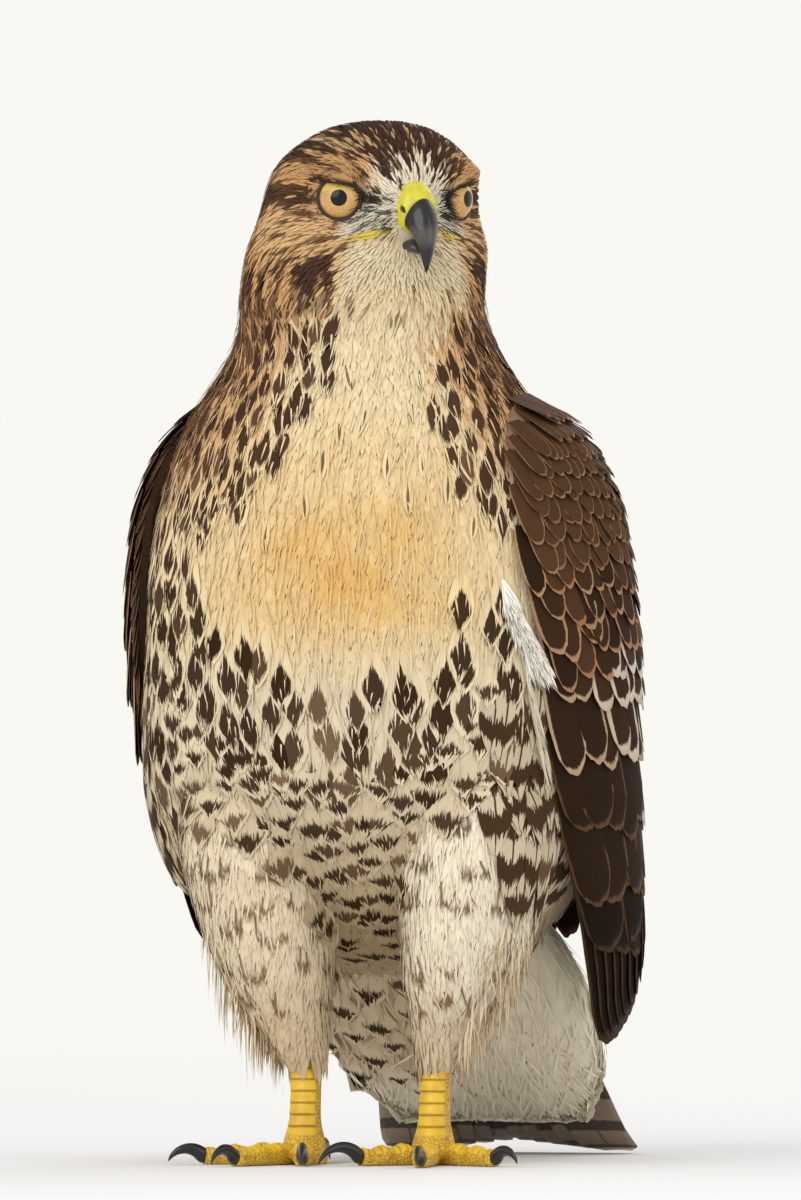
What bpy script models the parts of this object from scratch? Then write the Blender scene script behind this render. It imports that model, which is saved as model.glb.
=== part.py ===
"""A young red-tailed hawk, life size, standing: the solids of a still model.

Metres, +Z up. The bird faces -Y and stands on the floor at z = 0. The origin is on the floor, at the
middle of the bird's box. Sections of the body are level cuts, each with its own reach to every side.
"""

import math

import bmesh
import bpy
import numpy as np
from mathutils import Vector

# Stance
BODY_YAW = math.radians(15)         # the breast is turned towards -X
HEAD_YAW = math.radians(28)         # the head looks back towards +X
BODY_X = -0.009                     # the body's upright axis, at the floor
BODY_Y = -0.0853
HEAD_X = -0.0045                    # the head's axis, at the height of its middle
HEAD_Y = -0.0903
HEAD_MIDDLE = 0.420
HEAD_LEAN = 0.10                    # towards +X for each metre up
GAP = 0.0003                        # left between sub-parts that touch

# Heights where the body is parted
NECK_BASE = 0.345
HEAD_BASE = 0.378

# Level sections of the torso: height, middle behind the axis, reach left, right, front and back
TORSO_SECTIONS = (
    (0.345, 0.010, 0.0670, 0.0700, 0.058, 0.057),
    (0.325, 0.012, 0.080, 0.083, 0.068, 0.066),
    (0.300, 0.016, 0.092, 0.093, 0.080, 0.072),
    (0.265, 0.020, 0.099, 0.100, 0.090, 0.077),
    (0.230, 0.026, 0.101, 0.103, 0.094, 0.079),
    (0.195, 0.034, 0.100, 0.107, 0.094, 0.080),
    (0.160, 0.047, 0.096, 0.109, 0.092, 0.077),
    (0.135, 0.060, 0.088, 0.106, 0.086, 0.071),
    (0.118, 0.070, 0.078, 0.097, 0.078, 0.062),
    (0.104, 0.080, 0.064, 0.074, 0.068, 0.052),
    (0.090, 0.092, 0.048, 0.052, 0.052, 0.040),
    (0.082, 0.100, 0.030, 0.032, 0.032, 0.026),
)
# Level sections of the hull that the folded wings lie on: height, middle, side, front and back
HULL_SECTIONS = (
    (0.352, 0.012, 0.060, 0.050, 0.056),
    (0.340, 0.014, 0.0735, 0.060, 0.066),
    (0.325, 0.016, 0.090, 0.074, 0.074),
    (0.300, 0.020, 0.105, 0.080, 0.080),
    (0.265, 0.025, 0.1125, 0.086, 0.084),
    (0.230, 0.031, 0.1148, 0.088, 0.086),
    (0.195, 0.040, 0.1135, 0.088, 0.086),
    (0.160, 0.054, 0.1110, 0.086, 0.084),
    (0.130, 0.072, 0.1070, 0.080, 0.078),
    (0.100, 0.094, 0.1020, 0.074, 0.070),
    (0.070, 0.116, 0.0945, 0.066, 0.060),
    (0.045, 0.134, 0.0870, 0.056, 0.052),
)
# Level sections of the head: height, side, front and back
HEAD_SECTIONS = (
    (0.378, 0.0568, 0.0475, 0.0510),
    (0.390, 0.0562, 0.0445, 0.0510),
    (0.402, 0.0550, 0.0400, 0.0505),
    (0.412, 0.0520, 0.0370, 0.0485),
    (0.420, 0.0502, 0.0360, 0.0470),
    (0.429, 0.0492, 0.0355, 0.0450),
    (0.438, 0.0464, 0.0342, 0.0420),
    (0.4466, 0.0392, 0.0290, 0.0360),
    (0.4530, 0.0300, 0.0215, 0.0280),
    (0.4572, 0.0205, 0.0140, 0.0190),
    (0.4591, 0.0110, 0.0080, 0.0100),
)
CROWN = 0.4598
HEAD_WEDGE = 0.16                   # how much narrower the face is than the back of the head
# Wing edges on the hull, in degrees from the breast's middle: height, left front, right front, back
WING_EDGES = (
    (0.338, 70, 84, 128),
    (0.325, 55, 80, 150),
    (0.300, 48, 76, 166),
    (0.250, 50, 76, 172),
    (0.213, 52, 80, 174),
    (0.160, 54, 88, 172),
    (0.130, 56, 93, 160),
    (0.095, 61, 95, 142),
    (0.070, 66, 96, 124),
    (0.045, 78, 97, 106),
)

# Head details, in the head's own frame: forward, to the side, height
EYE_RADIUS = 0.0110
EYE_SIDE = 0.0268
EYE_FORWARD = 0.0185
EYE_HEIGHT = 0.4248
EYE_TURN = math.radians(31)         # each eye looks this far out from straight ahead
LID_RADIUS = 0.0090
LID_THICKNESS = 0.0013
# The line of the mouth: degrees out from straight ahead, and height
MOUTH = ((37, 0.4066), (30, 0.4076), (22, 0.4088), (15, 0.4096), (9, 0.4096))

# Legs
LEG_SIDE = 0.0295
FOOT_BACK = 0.010
TOE_RADIUS = 0.0048

# Tail
TAIL_BASE_BACK = 0.100
TAIL_BASE_HEIGHT = 0.150
TAIL_SLOPE = math.radians(50)
TAIL_BEND = 0.040
TAIL_TURN = math.radians(3)
TAIL_FEATHERS = 12
TAIL_PITCH = 0.0011                 # from one tail feather to the one below it
TAIL_UNDERSIDE = -0.0005            # the lowest of the tail's root, off its middle line
UNDERTAIL_FLOOR = 0.0015            # the white feathers under the tail stay this far off the floor
VANE = 0.0007                       # thickness of a flight feather

CREAM = (0.72, 0.58, 0.38, 1)
WHITE = (0.70, 0.64, 0.54, 1)
BROWN = (0.060, 0.032, 0.020, 1)
TAIL_BROWN = (0.110, 0.070, 0.045, 1)
HEAD_BROWN = (0.16, 0.090, 0.050, 1)
YELLOW = (0.72, 0.50, 0.03, 1)
HORN = (0.020, 0.022, 0.026, 1)
AMBER = (0.75, 0.45, 0.10, 1)


def section(table, height):
    """One row of a table of sections at any height, by a smooth curve through its rows."""
    rows = sorted(table)
    heights = np.array([row[0] for row in rows])
    values = np.array([row[1:] for row in rows], dtype=float)
    slopes = np.gradient(values, heights, axis=0)
    height = min(max(height, heights[0]), heights[-1])
    index = min(int(np.searchsorted(heights, height, side="right")) - 1, len(rows) - 2)
    span = heights[index + 1] - heights[index]
    t = (height - heights[index]) / span
    start, end = values[index], values[index + 1]
    return (
        start * (2 * t**3 - 3 * t**2 + 1)
        + end * (3 * t**2 - 2 * t**3)
        + slopes[index] * span * (t**3 - 2 * t**2 + t)
        + slopes[index + 1] * span * (t**3 - t**2)
    )


def body_point(left, back, height):
    """A point given to the left of and behind the body's axis."""
    across = BODY_X + left * math.cos(BODY_YAW) + back * math.sin(BODY_YAW)
    along = BODY_Y - left * math.sin(BODY_YAW) + back * math.cos(BODY_YAW)
    return Vector((across, along, height))


def head_point(left, forward, height):
    """A point given to the left of and in front of the head's axis, which leans a little."""
    middle = HEAD_X + HEAD_LEAN * (height - HEAD_MIDDLE)
    across = middle + left * math.cos(HEAD_YAW) + forward * math.sin(HEAD_YAW)
    along = HEAD_Y + left * math.sin(HEAD_YAW) - forward * math.cos(HEAD_YAW)
    return Vector((across, along, height))


def hull_point(side, angle, height, outward):
    """A point on the wings' hull; the angle goes from the breast's middle round to the back."""
    middle, width, front, back = section(HULL_SECTIONS, height)
    depth = front if math.cos(angle) > 0 else back
    normal = Vector((math.sin(angle) / width, -math.cos(angle) / depth, 0)).normalized()
    left = width * math.sin(angle) + outward * normal.x
    behind = middle - depth * math.cos(angle) + outward * normal.y
    return body_point(side * left, behind, height)


# Objects and solids


def material(name, colour, roughness):
    made = bpy.data.materials.new(name)
    made.use_nodes = True
    shader = made.node_tree.nodes["Principled BSDF"]
    shader.inputs["Base Color"].default_value = colour
    shader.inputs["Roughness"].default_value = roughness
    shader.inputs["Metallic"].default_value = 0.0
    return made


def solid_object(name, mesh):
    made = bpy.data.objects.new(name, mesh)
    bpy.context.scene.collection.objects.link(made)
    return made


def closed_loft(name, rings, start=None, end=None):
    """A closed solid through rings of points; each end runs to a point, or is a level fan."""
    shape = bmesh.new()
    rows = [[shape.verts.new(point) for point in ring] for ring in rings]
    count = len(rows[0])
    for lower, upper in zip(rows, rows[1:]):
        for i in range(count):
            j = (i + 1) % count
            shape.faces.new((lower[i], lower[j], upper[j], upper[i]))
    for row, tip in ((rows[0], start), (rows[-1], end)):
        middle = sum((vert.co for vert in row), Vector()) / count
        apex = shape.verts.new(tip if tip is not None else middle)
        for i in range(count):
            shape.faces.new((row[i], row[(i + 1) % count], apex))
    bmesh.ops.recalc_face_normals(shape, faces=shape.faces)
    bmesh.ops.triangulate(shape, faces=shape.faces)
    mesh = bpy.data.meshes.new(name)
    shape.to_mesh(mesh)
    shape.free()
    return solid_object(name, mesh)


def vane(name, rows, thickness):
    """A feather: rows of a left, middle and right point with their outward normals, and one tip.

    Both faces are split into the same triangles, so that they never cross.
    """
    shape = bmesh.new()
    upper = []
    lower = []
    for points, normal in rows:
        upper.append([shape.verts.new(point) for point in points])
        lower.append([shape.verts.new(point - normal * thickness) for point in points])
    columns = len(upper[0])
    for row in range(len(rows) - 1):
        for column in range(columns - 1):
            a, b = (row, column), (row, column + 1)
            c, d = (row + 1, column + 1), (row + 1, column)
            halves = ((a, b, c), (a, c, d)) if column < (columns - 1) / 2 else ((a, b, d), (b, c, d))
            for half in halves:
                shape.faces.new([upper[r][c] for r, c in half])
                shape.faces.new([lower[r][c] for r, c in reversed(half)])
    rim = [(row, 0) for row in range(len(rows))]
    rim += [(len(rows) - 1, column) for column in range(1, columns)]
    rim += [(row, columns - 1) for row in range(len(rows) - 2, -1, -1)]
    rim += [(0, column) for column in range(columns - 2, 0, -1)]
    for here, there in zip(rim, rim[1:] + rim[:1]):
        a, b = upper[here[0]][here[1]], upper[there[0]][there[1]]
        c, d = lower[there[0]][there[1]], lower[here[0]][here[1]]
        shape.faces.new((b, a, d))
        shape.faces.new((b, d, c))
    bmesh.ops.recalc_face_normals(shape, faces=shape.faces)
    mesh = bpy.data.meshes.new(name)
    shape.to_mesh(mesh)
    shape.free()
    return solid_object(name, mesh)


def grown(source, distance):
    """A cutter a little larger than the source all round."""
    shape = bmesh.new()
    shape.from_mesh(source.data)
    shape.normal_update()
    for vert in shape.verts:
        vert.co += vert.normal * distance
    mesh = bpy.data.meshes.new(source.name + "_cutter")
    shape.to_mesh(mesh)
    shape.free()
    return solid_object(mesh.name, mesh)


def keep_largest(target):
    """Leave only the closed surface with the largest box."""
    shape = bmesh.new()
    shape.from_mesh(target.data)
    left = set(shape.verts)
    islands = []
    while left:
        stack = [left.pop()]
        island = set(stack)
        while stack:
            for edge in stack.pop().link_edges:
                for vert in edge.verts:
                    if vert in left:
                        left.remove(vert)
                        island.add(vert)
                        stack.append(vert)
        islands.append(island)

    def size(island):
        places = np.array([vert.co[:] for vert in island])
        return float(np.prod(places.max(0) - places.min(0)))

    islands.sort(key=size)
    loose = [vert for island in islands[:-1] for vert in island]
    bmesh.ops.delete(shape, geom=loose, context="VERTS")
    shape.to_mesh(target.data)
    shape.free()


def combine(target, others, operation, solver="MANIFOLD"):
    """Join or cut the target by all the others in one Boolean, and remove them."""
    group = bpy.data.collections.new(target.name + "_others")
    for other in others:
        group.objects.link(other)
    boolean = target.modifiers.new("boolean", "BOOLEAN")
    boolean.operation = operation
    boolean.operand_type = "COLLECTION"
    boolean.collection = group
    boolean.solver = solver
    depsgraph = bpy.context.evaluated_depsgraph_get()
    mesh = bpy.data.meshes.new_from_object(target.evaluated_get(depsgraph))
    target.modifiers.clear()
    target.data = mesh
    for other in others:
        bpy.data.objects.remove(other)
    bpy.data.collections.remove(group)
    keep_largest(target)
    return target


# Head, neck and torso


def ring(count):
    return [2 * math.pi * i / count for i in range(count)]


def torso_ring(height, count):
    middle, left, right, front, back = section(TORSO_SECTIONS, height)
    points = []
    for angle in ring(count):
        width = left if math.sin(angle) > 0 else right
        depth = front if math.cos(angle) > 0 else back
        points.append(body_point(width * math.sin(angle), middle - depth * math.cos(angle), height))
    return points


# How the face stands out from its plain section: degrees from the middle, height, how wide and how
# high the form spreads, and how far it stands out
HEAD_FORMS = (
    ("brow", 50, 0.4372, 26, 0.0040, 0.0040),
    ("eye hollow", 38, 0.4240, 15, 0.0072, -0.0042),
    ("cheek", 72, 0.4050, 26, 0.0100, 0.0015),
    ("lores and forehead", 0, 0.4240, 24, 0.0130, 0.0033),
)


def head_swell(angle, height):
    swell = 0.0
    for _, side_angle, level, spread, rise, amount in HEAD_FORMS:
        for sign in (1, -1):
            turn = (math.degrees(angle) - sign * side_angle + 180) % 360 - 180
            swell += amount * math.exp(-((turn / spread) ** 2) - ((height - level) / rise) ** 2)
    return swell


def head_surface(angle, height, outward=0.0):
    """A point of the head; the angle goes from straight ahead round to the left."""
    side, front, back = section(HEAD_SECTIONS, height)
    depth = front if math.cos(angle) > 0 else back
    swell = head_swell(angle, height) + outward
    wedge = 1 - HEAD_WEDGE * max(0.0, math.cos(angle)) ** 2
    left = (side + swell) * math.sin(angle) * wedge
    return head_point(left, (depth + swell) * math.cos(angle), height)


def head_ring(height, count):
    return [head_surface(angle, height) for angle in ring(count)]


def make_torso():
    heights = np.linspace(NECK_BASE, 0.083, 16)
    rings = [torso_ring(height, 28) for height in heights]
    low = body_point(0, 0.104, 0.079)
    return closed_loft("torso", rings, None, low)


def make_neck():
    count = 28
    low = torso_ring(NECK_BASE, count)
    high = head_ring(HEAD_BASE, count)
    rings = []
    for share in np.linspace(0, 1, 4):
        height = NECK_BASE + GAP + share * (HEAD_BASE - NECK_BASE - 2 * GAP)
        ring_points = []
        for a, b in zip(low, high):
            place = a.lerp(b, share)
            place.z = height
            ring_points.append(place)
        rings.append(ring_points)
    return closed_loft("neck", rings)


def eye_centre(side):
    return head_point(side * EYE_SIDE, EYE_FORWARD, EYE_HEIGHT)


def eye_axis(side):
    turn = EYE_TURN * side
    ahead = Vector((math.sin(HEAD_YAW), -math.cos(HEAD_YAW), 0))
    left = Vector((math.cos(HEAD_YAW), math.sin(HEAD_YAW), 0))
    return ahead * math.cos(turn) + left * math.sin(turn)


def tube_ring(centre, across, up, wide, high, count, floor=None):
    points = []
    for angle in ring(count):
        point = centre + across * (wide * math.sin(angle)) + up * (high * math.cos(angle))
        if floor is not None:
            point.z = max(point.z, floor)
        points.append(point)
    return points


def make_lid(side):
    """The rim of bare skin that holds the eye."""
    axis = eye_axis(side)
    up = Vector((0, 0, 1))
    across = axis.cross(up)
    reach = math.sqrt(EYE_RADIUS**2 - LID_RADIUS**2)
    middle = eye_centre(side) + axis * (reach + LID_THICKNESS / 2)
    shape = bmesh.new()
    rings = []
    for angle in ring(16):
        outward = across * math.sin(angle) + up * math.cos(angle)
        centre = middle + outward * LID_RADIUS
        turn = []
        for small in ring(6):
            offset = outward * math.sin(small) * 1.5 + axis * math.cos(small)
            turn.append(shape.verts.new(centre + offset * LID_THICKNESS))
        rings.append(turn)
    for a, b in zip(rings, rings[1:] + rings[:1]):
        for i in range(6):
            j = (i + 1) % 6
            shape.faces.new((a[i], a[j], b[j], b[i]))
    bmesh.ops.recalc_face_normals(shape, faces=shape.faces)
    bmesh.ops.triangulate(shape, faces=shape.faces)
    mesh = bpy.data.meshes.new("lid")
    shape.to_mesh(mesh)
    shape.free()
    return solid_object("lid", mesh)


def make_lid_opening(side):
    """What is cut away in front of the eye, so that it looks out between its lids."""
    axis = eye_axis(side)
    up = Vector((0, 0, 1))
    across = axis.cross(up)
    rings = []
    for ahead, wide in ((0.0040, 0.0070), (0.0076, 0.0078), (0.0200, 0.0150)):
        centre = eye_centre(side) + axis * ahead
        rings.append(tube_ring(centre, across, up, wide, wide, 16))
    return closed_loft("opening", rings)


def ball(name, centre, radius, segments=14, rings=9):
    mesh = bpy.data.meshes.new(name)
    shape = bmesh.new()
    bmesh.ops.create_uvsphere(shape, u_segments=segments, v_segments=rings, radius=radius)
    bmesh.ops.triangulate(shape, faces=shape.faces)
    shape.to_mesh(mesh)
    shape.free()
    made = solid_object(name, mesh)
    made.location = centre
    return made


def settle(target):
    """Move the object's own placing into its mesh, so that cutters work in one frame."""
    bpy.context.view_layer.update()
    target.data.transform(target.matrix_world)
    target.matrix_world.identity()
    target.location = (0, 0, 0)
    target.rotation_euler = (0, 0, 0)
    return target


def mouth_path(side, outward, above):
    """From the corner of the mouth forward to the bill."""
    return [
        head_surface(side * math.radians(turn), height + above, outward) for turn, height in MOUTH
    ]


def rod(name, path, radius, count=6):
    """A closed rod of few sides along a path."""
    rings = []
    for index, place in enumerate(path):
        ahead = path[min(index + 1, len(path) - 1)] - path[max(index - 1, 0)]
        ahead.normalize()
        across = ahead.cross(Vector((0, 0, 1))).normalized()
        up = across.cross(ahead)
        rings.append(tube_ring(place, across, up, radius, radius, count))
    return closed_loft(name, rings)


def make_head():
    levels = np.concatenate([np.linspace(HEAD_BASE, 0.450, 15), (0.4542, 0.4573, 0.4591)])
    rings = [head_ring(height, 28) for height in levels]
    head = closed_loft("head", rings, None, head_point(0, 0.001, CROWN))
    joined = []
    cutters = []
    for side in (1, -1):
        joined.append(make_lid(side))
        for above in (0.0011, -0.0011):
            joined.append(rod("lip", mouth_path(side, -0.0002, above), 0.0010))
        cutters.append(settle(ball("socket", eye_centre(side), EYE_RADIUS + GAP)))
        cutters.append(make_lid_opening(side))
        cutters.append(rod("mouth", mouth_path(side, 0.0005, 0), 0.0006, 4))
    combine(head, joined, "UNION")
    return head, cutters


# Bill


# Sections of the bill: forward and height of the ridge, the same of the edge below it, half width
CERE_SECTIONS = (
    (0.0330, 0.4318, 0.0300, 0.4085, 0.0092),
    (0.0405, 0.4322, 0.0355, 0.4080, 0.0098),
    (0.0446, 0.4290, 0.0390, 0.4086, 0.0092),
    (0.0474, 0.4249, 0.0415, 0.4096, 0.0079),
)
UPPER_SECTIONS = (
    (0.0478, 0.4244, 0.0419, 0.4091, 0.0075),
    (0.0502, 0.4212, 0.0442, 0.4078, 0.0069),
    (0.0522, 0.4168, 0.0460, 0.4062, 0.0061),
    (0.0534, 0.4114, 0.0472, 0.4042, 0.0050),
    (0.0537, 0.4060, 0.0480, 0.4015, 0.0038),
    (0.0530, 0.4008, 0.0486, 0.3985, 0.0027),
    (0.0516, 0.3960, 0.0490, 0.3950, 0.0016),
)
BILL_TIP = (0.0498, 0.3914)
LOWER_SECTIONS = (
    (0.0320, 0.4078, 0.0325, 0.3995, 0.0076),
    (0.0390, 0.4072, 0.0395, 0.3998, 0.0068),
    (0.0435, 0.4060, 0.0435, 0.3996, 0.0052),
    (0.0462, 0.4036, 0.0460, 0.3994, 0.0034),
)
RIDGE_NARROWING = 0.25
NOSTRIL = (0.0086, 0.0432, 0.4198)
NOSTRIL_RADIUS = 0.0015


def bill_point(left, forward, height):
    """A point in the head's frame, upright above and below the middle of the face."""
    place = head_point(left, forward, height)
    place.x -= HEAD_LEAN * (height - HEAD_MIDDLE)
    return place


def bill_ring(station, count, narrowing=0.0):
    """One section: forward and height of its ridge and of its lower edge, and its half width."""
    ridge_forward, ridge_height, edge_forward, edge_height, wide = station
    points = []
    for angle in ring(count):
        share = (1 + math.cos(angle)) / 2
        left = wide * math.sin(angle) * (1 - narrowing * math.cos(angle))
        forward = edge_forward + (ridge_forward - edge_forward) * share
        height = edge_height + (ridge_height - edge_height) * share
        points.append(bill_point(left, forward, height))
    return points


def make_bill():
    cere = closed_loft("cere", [bill_ring(station, 18) for station in CERE_SECTIONS])
    upper_rings = [bill_ring(station, 14, RIDGE_NARROWING) for station in UPPER_SECTIONS]
    upper = closed_loft("bill_upper", upper_rings, None, bill_point(0, *BILL_TIP))
    lower = closed_loft("bill_lower", [bill_ring(station, 12) for station in LOWER_SECTIONS])
    nostrils = []
    for side in (1, -1):
        left, forward, height = NOSTRIL
        pit = ball("nostril", bill_point(side * left, forward, height), NOSTRIL_RADIUS, 10, 6)
        nostrils.append(settle(pit))
    combine(cere, nostrils, "DIFFERENCE")
    return cere, upper, lower


# Wings


def wing_angle(side, share, height):
    left_front, right_front, back = section(WING_EDGES, height)
    front = left_front if side > 0 else right_front
    return math.radians(front + (back - front) * share)


def make_wing_core(side, name):
    """The folded arm under its small feathers: a curved shell, thin at its edges."""
    rings = []
    shares = np.linspace(0.02, 0.98, 10)
    for height in np.concatenate([[0.337], np.linspace(0.330, 0.118, 11)]):
        closeness = min(1.0, (0.342 - height) / 0.03, (height - 0.100) / 0.04)
        outer = []
        inner = []
        for share in shares:
            angle = wing_angle(side, share, height)
            swell = math.sin(math.pi * share) ** 0.5 * closeness
            outer.append(hull_point(side, angle, height, -0.0045 + 0.0035 * swell))
            inner.append(hull_point(side, angle, height, -0.0060 - 0.0095 * swell))
        rings.append(outer + inner[::-3])
    return closed_loft(name, rings)


def wing_vane(side, place, slant, length, half_width, rise, steps):
    """One feather laid on the hull, from its root place (share, height) down and back."""
    share, height = place
    root_angle = wing_angle(side, share, height)
    middle, width, front, back = section(HULL_SECTIONS, height)
    radius = (width + back) / 2
    rows = []
    for step in steps:
        run = step * length
        here = height - run * math.cos(slant)
        angle = root_angle + run * math.sin(slant) / radius
        outward = rise[0] + (rise[1] - rise[0]) * step
        reach = half_width * (1 - 0.45 * (1 - step) ** 3) * (1 - 0.55 * step**6)
        points = []
        for across in (-1, 0, 1):
            turn = angle + across * reach * math.cos(slant) / radius
            lift = 0.0005 * (1 - abs(across))
            point = hull_point(side, turn, here + across * reach * math.sin(slant), outward + lift)
            points.append(point)
        normal = hull_point(side, angle, here, 1.0) - hull_point(side, angle, here, 0.0)
        rows.append((points, normal.normalized()))
    return vane("vane", rows, VANE)


# Tiers of wing feathers: count, first and last share of the wing's breadth, root height at the front
# and at the back, length, half width, slant in degrees, and the root's and tip's lift off the hull
WING_TIERS = (
    ("scapulars", 6, 0.10, 0.90, 0.318, 0.322, 0.062, 0.0125, (10, -2), (-0.004, 0.0022)),
    ("middle coverts", 7, 0.04, 0.93, 0.272, 0.282, 0.058, 0.0115, (11, -3), (-0.004, 0.0020)),
    ("greater coverts", 8, 0.03, 0.94, 0.230, 0.240, 0.060, 0.0110, (12, -5), (-0.004, 0.0016)),
    ("secondaries", 9, 0.03, 0.92, 0.196, 0.196, 0.078, 0.0120, (12, -9), (-0.005, 0.0008)),
)


def make_wing(side, name):
    core = make_wing_core(side, name)
    vanes = []
    for _, count, first, last, front, back, length, half_width, slants, rise in WING_TIERS:
        for index in range(count):
            step = index / (count - 1)
            place = (first + (last - first) * step, front + (back - front) * step)
            slant = math.radians(slants[0] + (slants[1] - slants[0]) * step)
            vanes.append(wing_vane(side, place, slant, length, half_width, rise, (0, 0.68, 1)))
    for index in range(6):
        step = index / 5
        place = (0.08 + 0.42 * step, 0.150)
        rise = (-0.0062 + 0.0009 * index, -0.0052 + 0.0012 * index)
        length = 0.108 - 0.038 * step
        slant = math.radians(15 - 19 * step)
        vanes.append(wing_vane(side, place, slant, length, 0.0104, rise, (0, 0.3, 0.6, 0.86, 1)))
    return core, vanes


# Tail


def tail_place(run):
    """The tail's middle line: back, height and slope after a run from its base."""
    straight = (TAIL_BASE_HEIGHT - TAIL_BEND * (1 - math.cos(TAIL_SLOPE))) / math.sin(TAIL_SLOPE)
    bend = TAIL_BEND * TAIL_SLOPE
    down = min(run, straight)
    back = TAIL_BASE_BACK + down * math.cos(TAIL_SLOPE)
    height = TAIL_BASE_HEIGHT - down * math.sin(TAIL_SLOPE)
    turned = min(max(run - straight, 0), bend) / TAIL_BEND
    slope = TAIL_SLOPE - turned
    back += TAIL_BEND * (math.sin(TAIL_SLOPE) - math.sin(slope))
    height -= TAIL_BEND * (math.cos(slope) - math.cos(TAIL_SLOPE))
    back += max(run - straight - bend, 0)
    return back, height, slope


def tail_point(left, run, above):
    back, height, slope = tail_place(run)
    behind = back + above * math.sin(slope)
    turn = math.sin(TAIL_TURN) * (back - TAIL_BASE_BACK)
    return body_point(left + turn, behind, height + above * math.cos(slope))


def tail_vane(side, index):
    """One tail feather; index 0 is next to the middle and lies on top."""
    layers = TAIL_FEATHERS // 2
    above = VANE + TAIL_PITCH * (layers - 1 - index)
    spread = math.radians(0.6 + 1.7 * index)
    length = 0.2150 - 0.0016 * index
    half_width = 0.0135
    rows = []
    for step in (0.0, 0.3, 0.62, 0.8, 0.96, 1.0):
        run = step * length
        reach = half_width * (0.30 + 0.70 * min(1.0, step * 2.2))
        if step > 0.95:
            reach *= 0.80 if step < 1 else 0.42
        left = side * (0.0035 + 0.0022 * index + run * math.sin(spread))
        points = [tail_point(left + across * reach, run, above) for across in (-1, 0, 1)]
        normal = tail_point(left, run, above + 1.0) - tail_point(left, run, above)
        rows.append((points, normal.normalized()))
    return vane("vane", rows, VANE)


def make_tail():
    rings = []
    for run, wide, high in (
        (0.004, 0.0230, 0.0048),
        (0.020, 0.0280, 0.0052),
        (0.045, 0.0340, 0.0046),
        (0.070, 0.0350, 0.0036),
        (0.090, 0.0300, 0.0025),
    ):
        points = []
        for angle in ring(16):
            left = wide * math.copysign(abs(math.sin(angle)) ** 0.45, math.sin(angle))
            rise = math.copysign(abs(math.cos(angle)) ** 0.45, math.cos(angle))
            points.append(tail_point(left, run, TAIL_UNDERSIDE + high * (1 + rise)))
        rings.append(points)
    core = closed_loft("tail", rings)
    vanes = [tail_vane(side, index) for side in (1, -1) for index in range(TAIL_FEATHERS // 2)]
    return core, vanes


def make_undertail():
    """The white feathers under the tail, from the vent almost to the floor."""
    rings = []
    for run, wide, thick in (
        (0.000, 0.034, 0.030),
        (0.030, 0.052, 0.040),
        (0.060, 0.064, 0.042),
        (0.095, 0.067, 0.036),
        (0.125, 0.063, 0.027),
        (0.150, 0.055, 0.017),
        (0.172, 0.044, 0.006),
    ):
        points = []
        for angle in ring(22):
            depth = thick / 2 * (1 - math.cos(angle)) ** 0.9 * 2**0.1
            above = TAIL_UNDERSIDE - GAP - depth
            point = tail_point(wide * math.sin(angle), run, above)
            point.z = max(point.z, UNDERTAIL_FLOOR)
            points.append(point)
        rings.append(points)
    return closed_loft("undertail", rings)


# Legs


THIGH_SECTIONS = (
    # height, side, back, half width, half depth
    (0.178, 0.048, 0.016, 0.030, 0.044),
    (0.160, 0.050, 0.012, 0.034, 0.047),
    (0.138, 0.050, 0.009, 0.034, 0.045),
    (0.115, 0.047, 0.008, 0.031, 0.040),
    (0.085, 0.042, 0.010, 0.0255, 0.032),
    (0.062, 0.036, 0.0125, 0.0175, 0.021),
    (0.047, 0.0305, 0.0135, 0.0112, 0.0130),
)
TARSUS_TOP = 0.0466
TARSUS_SECTIONS = (
    # height, back, half width, half depth
    (TARSUS_TOP, 0.0140, 0.0068, 0.0080),
    (0.030, 0.0125, 0.0067, 0.0078),
    (0.018, 0.0112, 0.0072, 0.0084),
    (0.010, 0.0102, 0.0092, 0.0104),
    (0.004, 0.0098, 0.0104, 0.0118),
    (0.000, 0.0098, 0.0100, 0.0112),
)
# Loose locks of the legging: degrees from its front round the outer side, length, half width
THIGH_LOCKS = (
    (84, 0.046, 0.0055),
    (104, 0.054, 0.0060),
    (126, 0.050, 0.0060),
    (148, 0.044, 0.0065),
    (172, 0.040, 0.0065),
)
LOCK_ROOT = 0.090                   # height where the locks leave the legging
PLATES = 6                         # down the front of each bare leg
PLATE_LOWEST = 0.0150
PLATE_PITCH = 0.0052
PLATE_RISE = 0.0009                 # of each plate's lower edge over the plate below it
TOE_PLATES = 3                      # on the top of each toe, from its tip
TOE_PLATE_PITCH = 0.0042
TOE_PLATE_RISE = 0.0008
TOE_ROOT = 0.006                    # where a toe starts, out from the middle of the foot


def thigh_point(side, angle, section_height, height, outward=0.0):
    """A point of the legging; the angle goes from the front round the leg's outer side."""
    out, back, wide, deep = section(THIGH_SECTIONS, section_height)
    left = out + (wide + outward) * math.sin(angle)
    return body_point(side * left, back - (deep + outward) * math.cos(angle), height)


def make_thigh_lock(side, turn, length, half_width):
    """A loose lock that leaves the legging and hangs straight down past the bare leg."""
    angle = math.radians(turn)
    normal = body_point(side * math.sin(angle), -math.cos(angle), 0) - body_point(0, 0, 0)
    across = Vector((0, 0, 1)).cross(normal)
    rows = []
    for step, breadth in ((0.0, 0.8), (0.35, 1.0), (0.75, 0.7), (1.0, 0.12)):
        centre = thigh_point(side, angle, LOCK_ROOT, LOCK_ROOT - length * step, -0.0022)
        centre -= normal * (0.004 * step**2)
        reach = half_width * breadth
        rows.append(([centre - across * reach, centre, centre + across * reach], normal))
    return vane("lock", rows, 0.0011)


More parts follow.
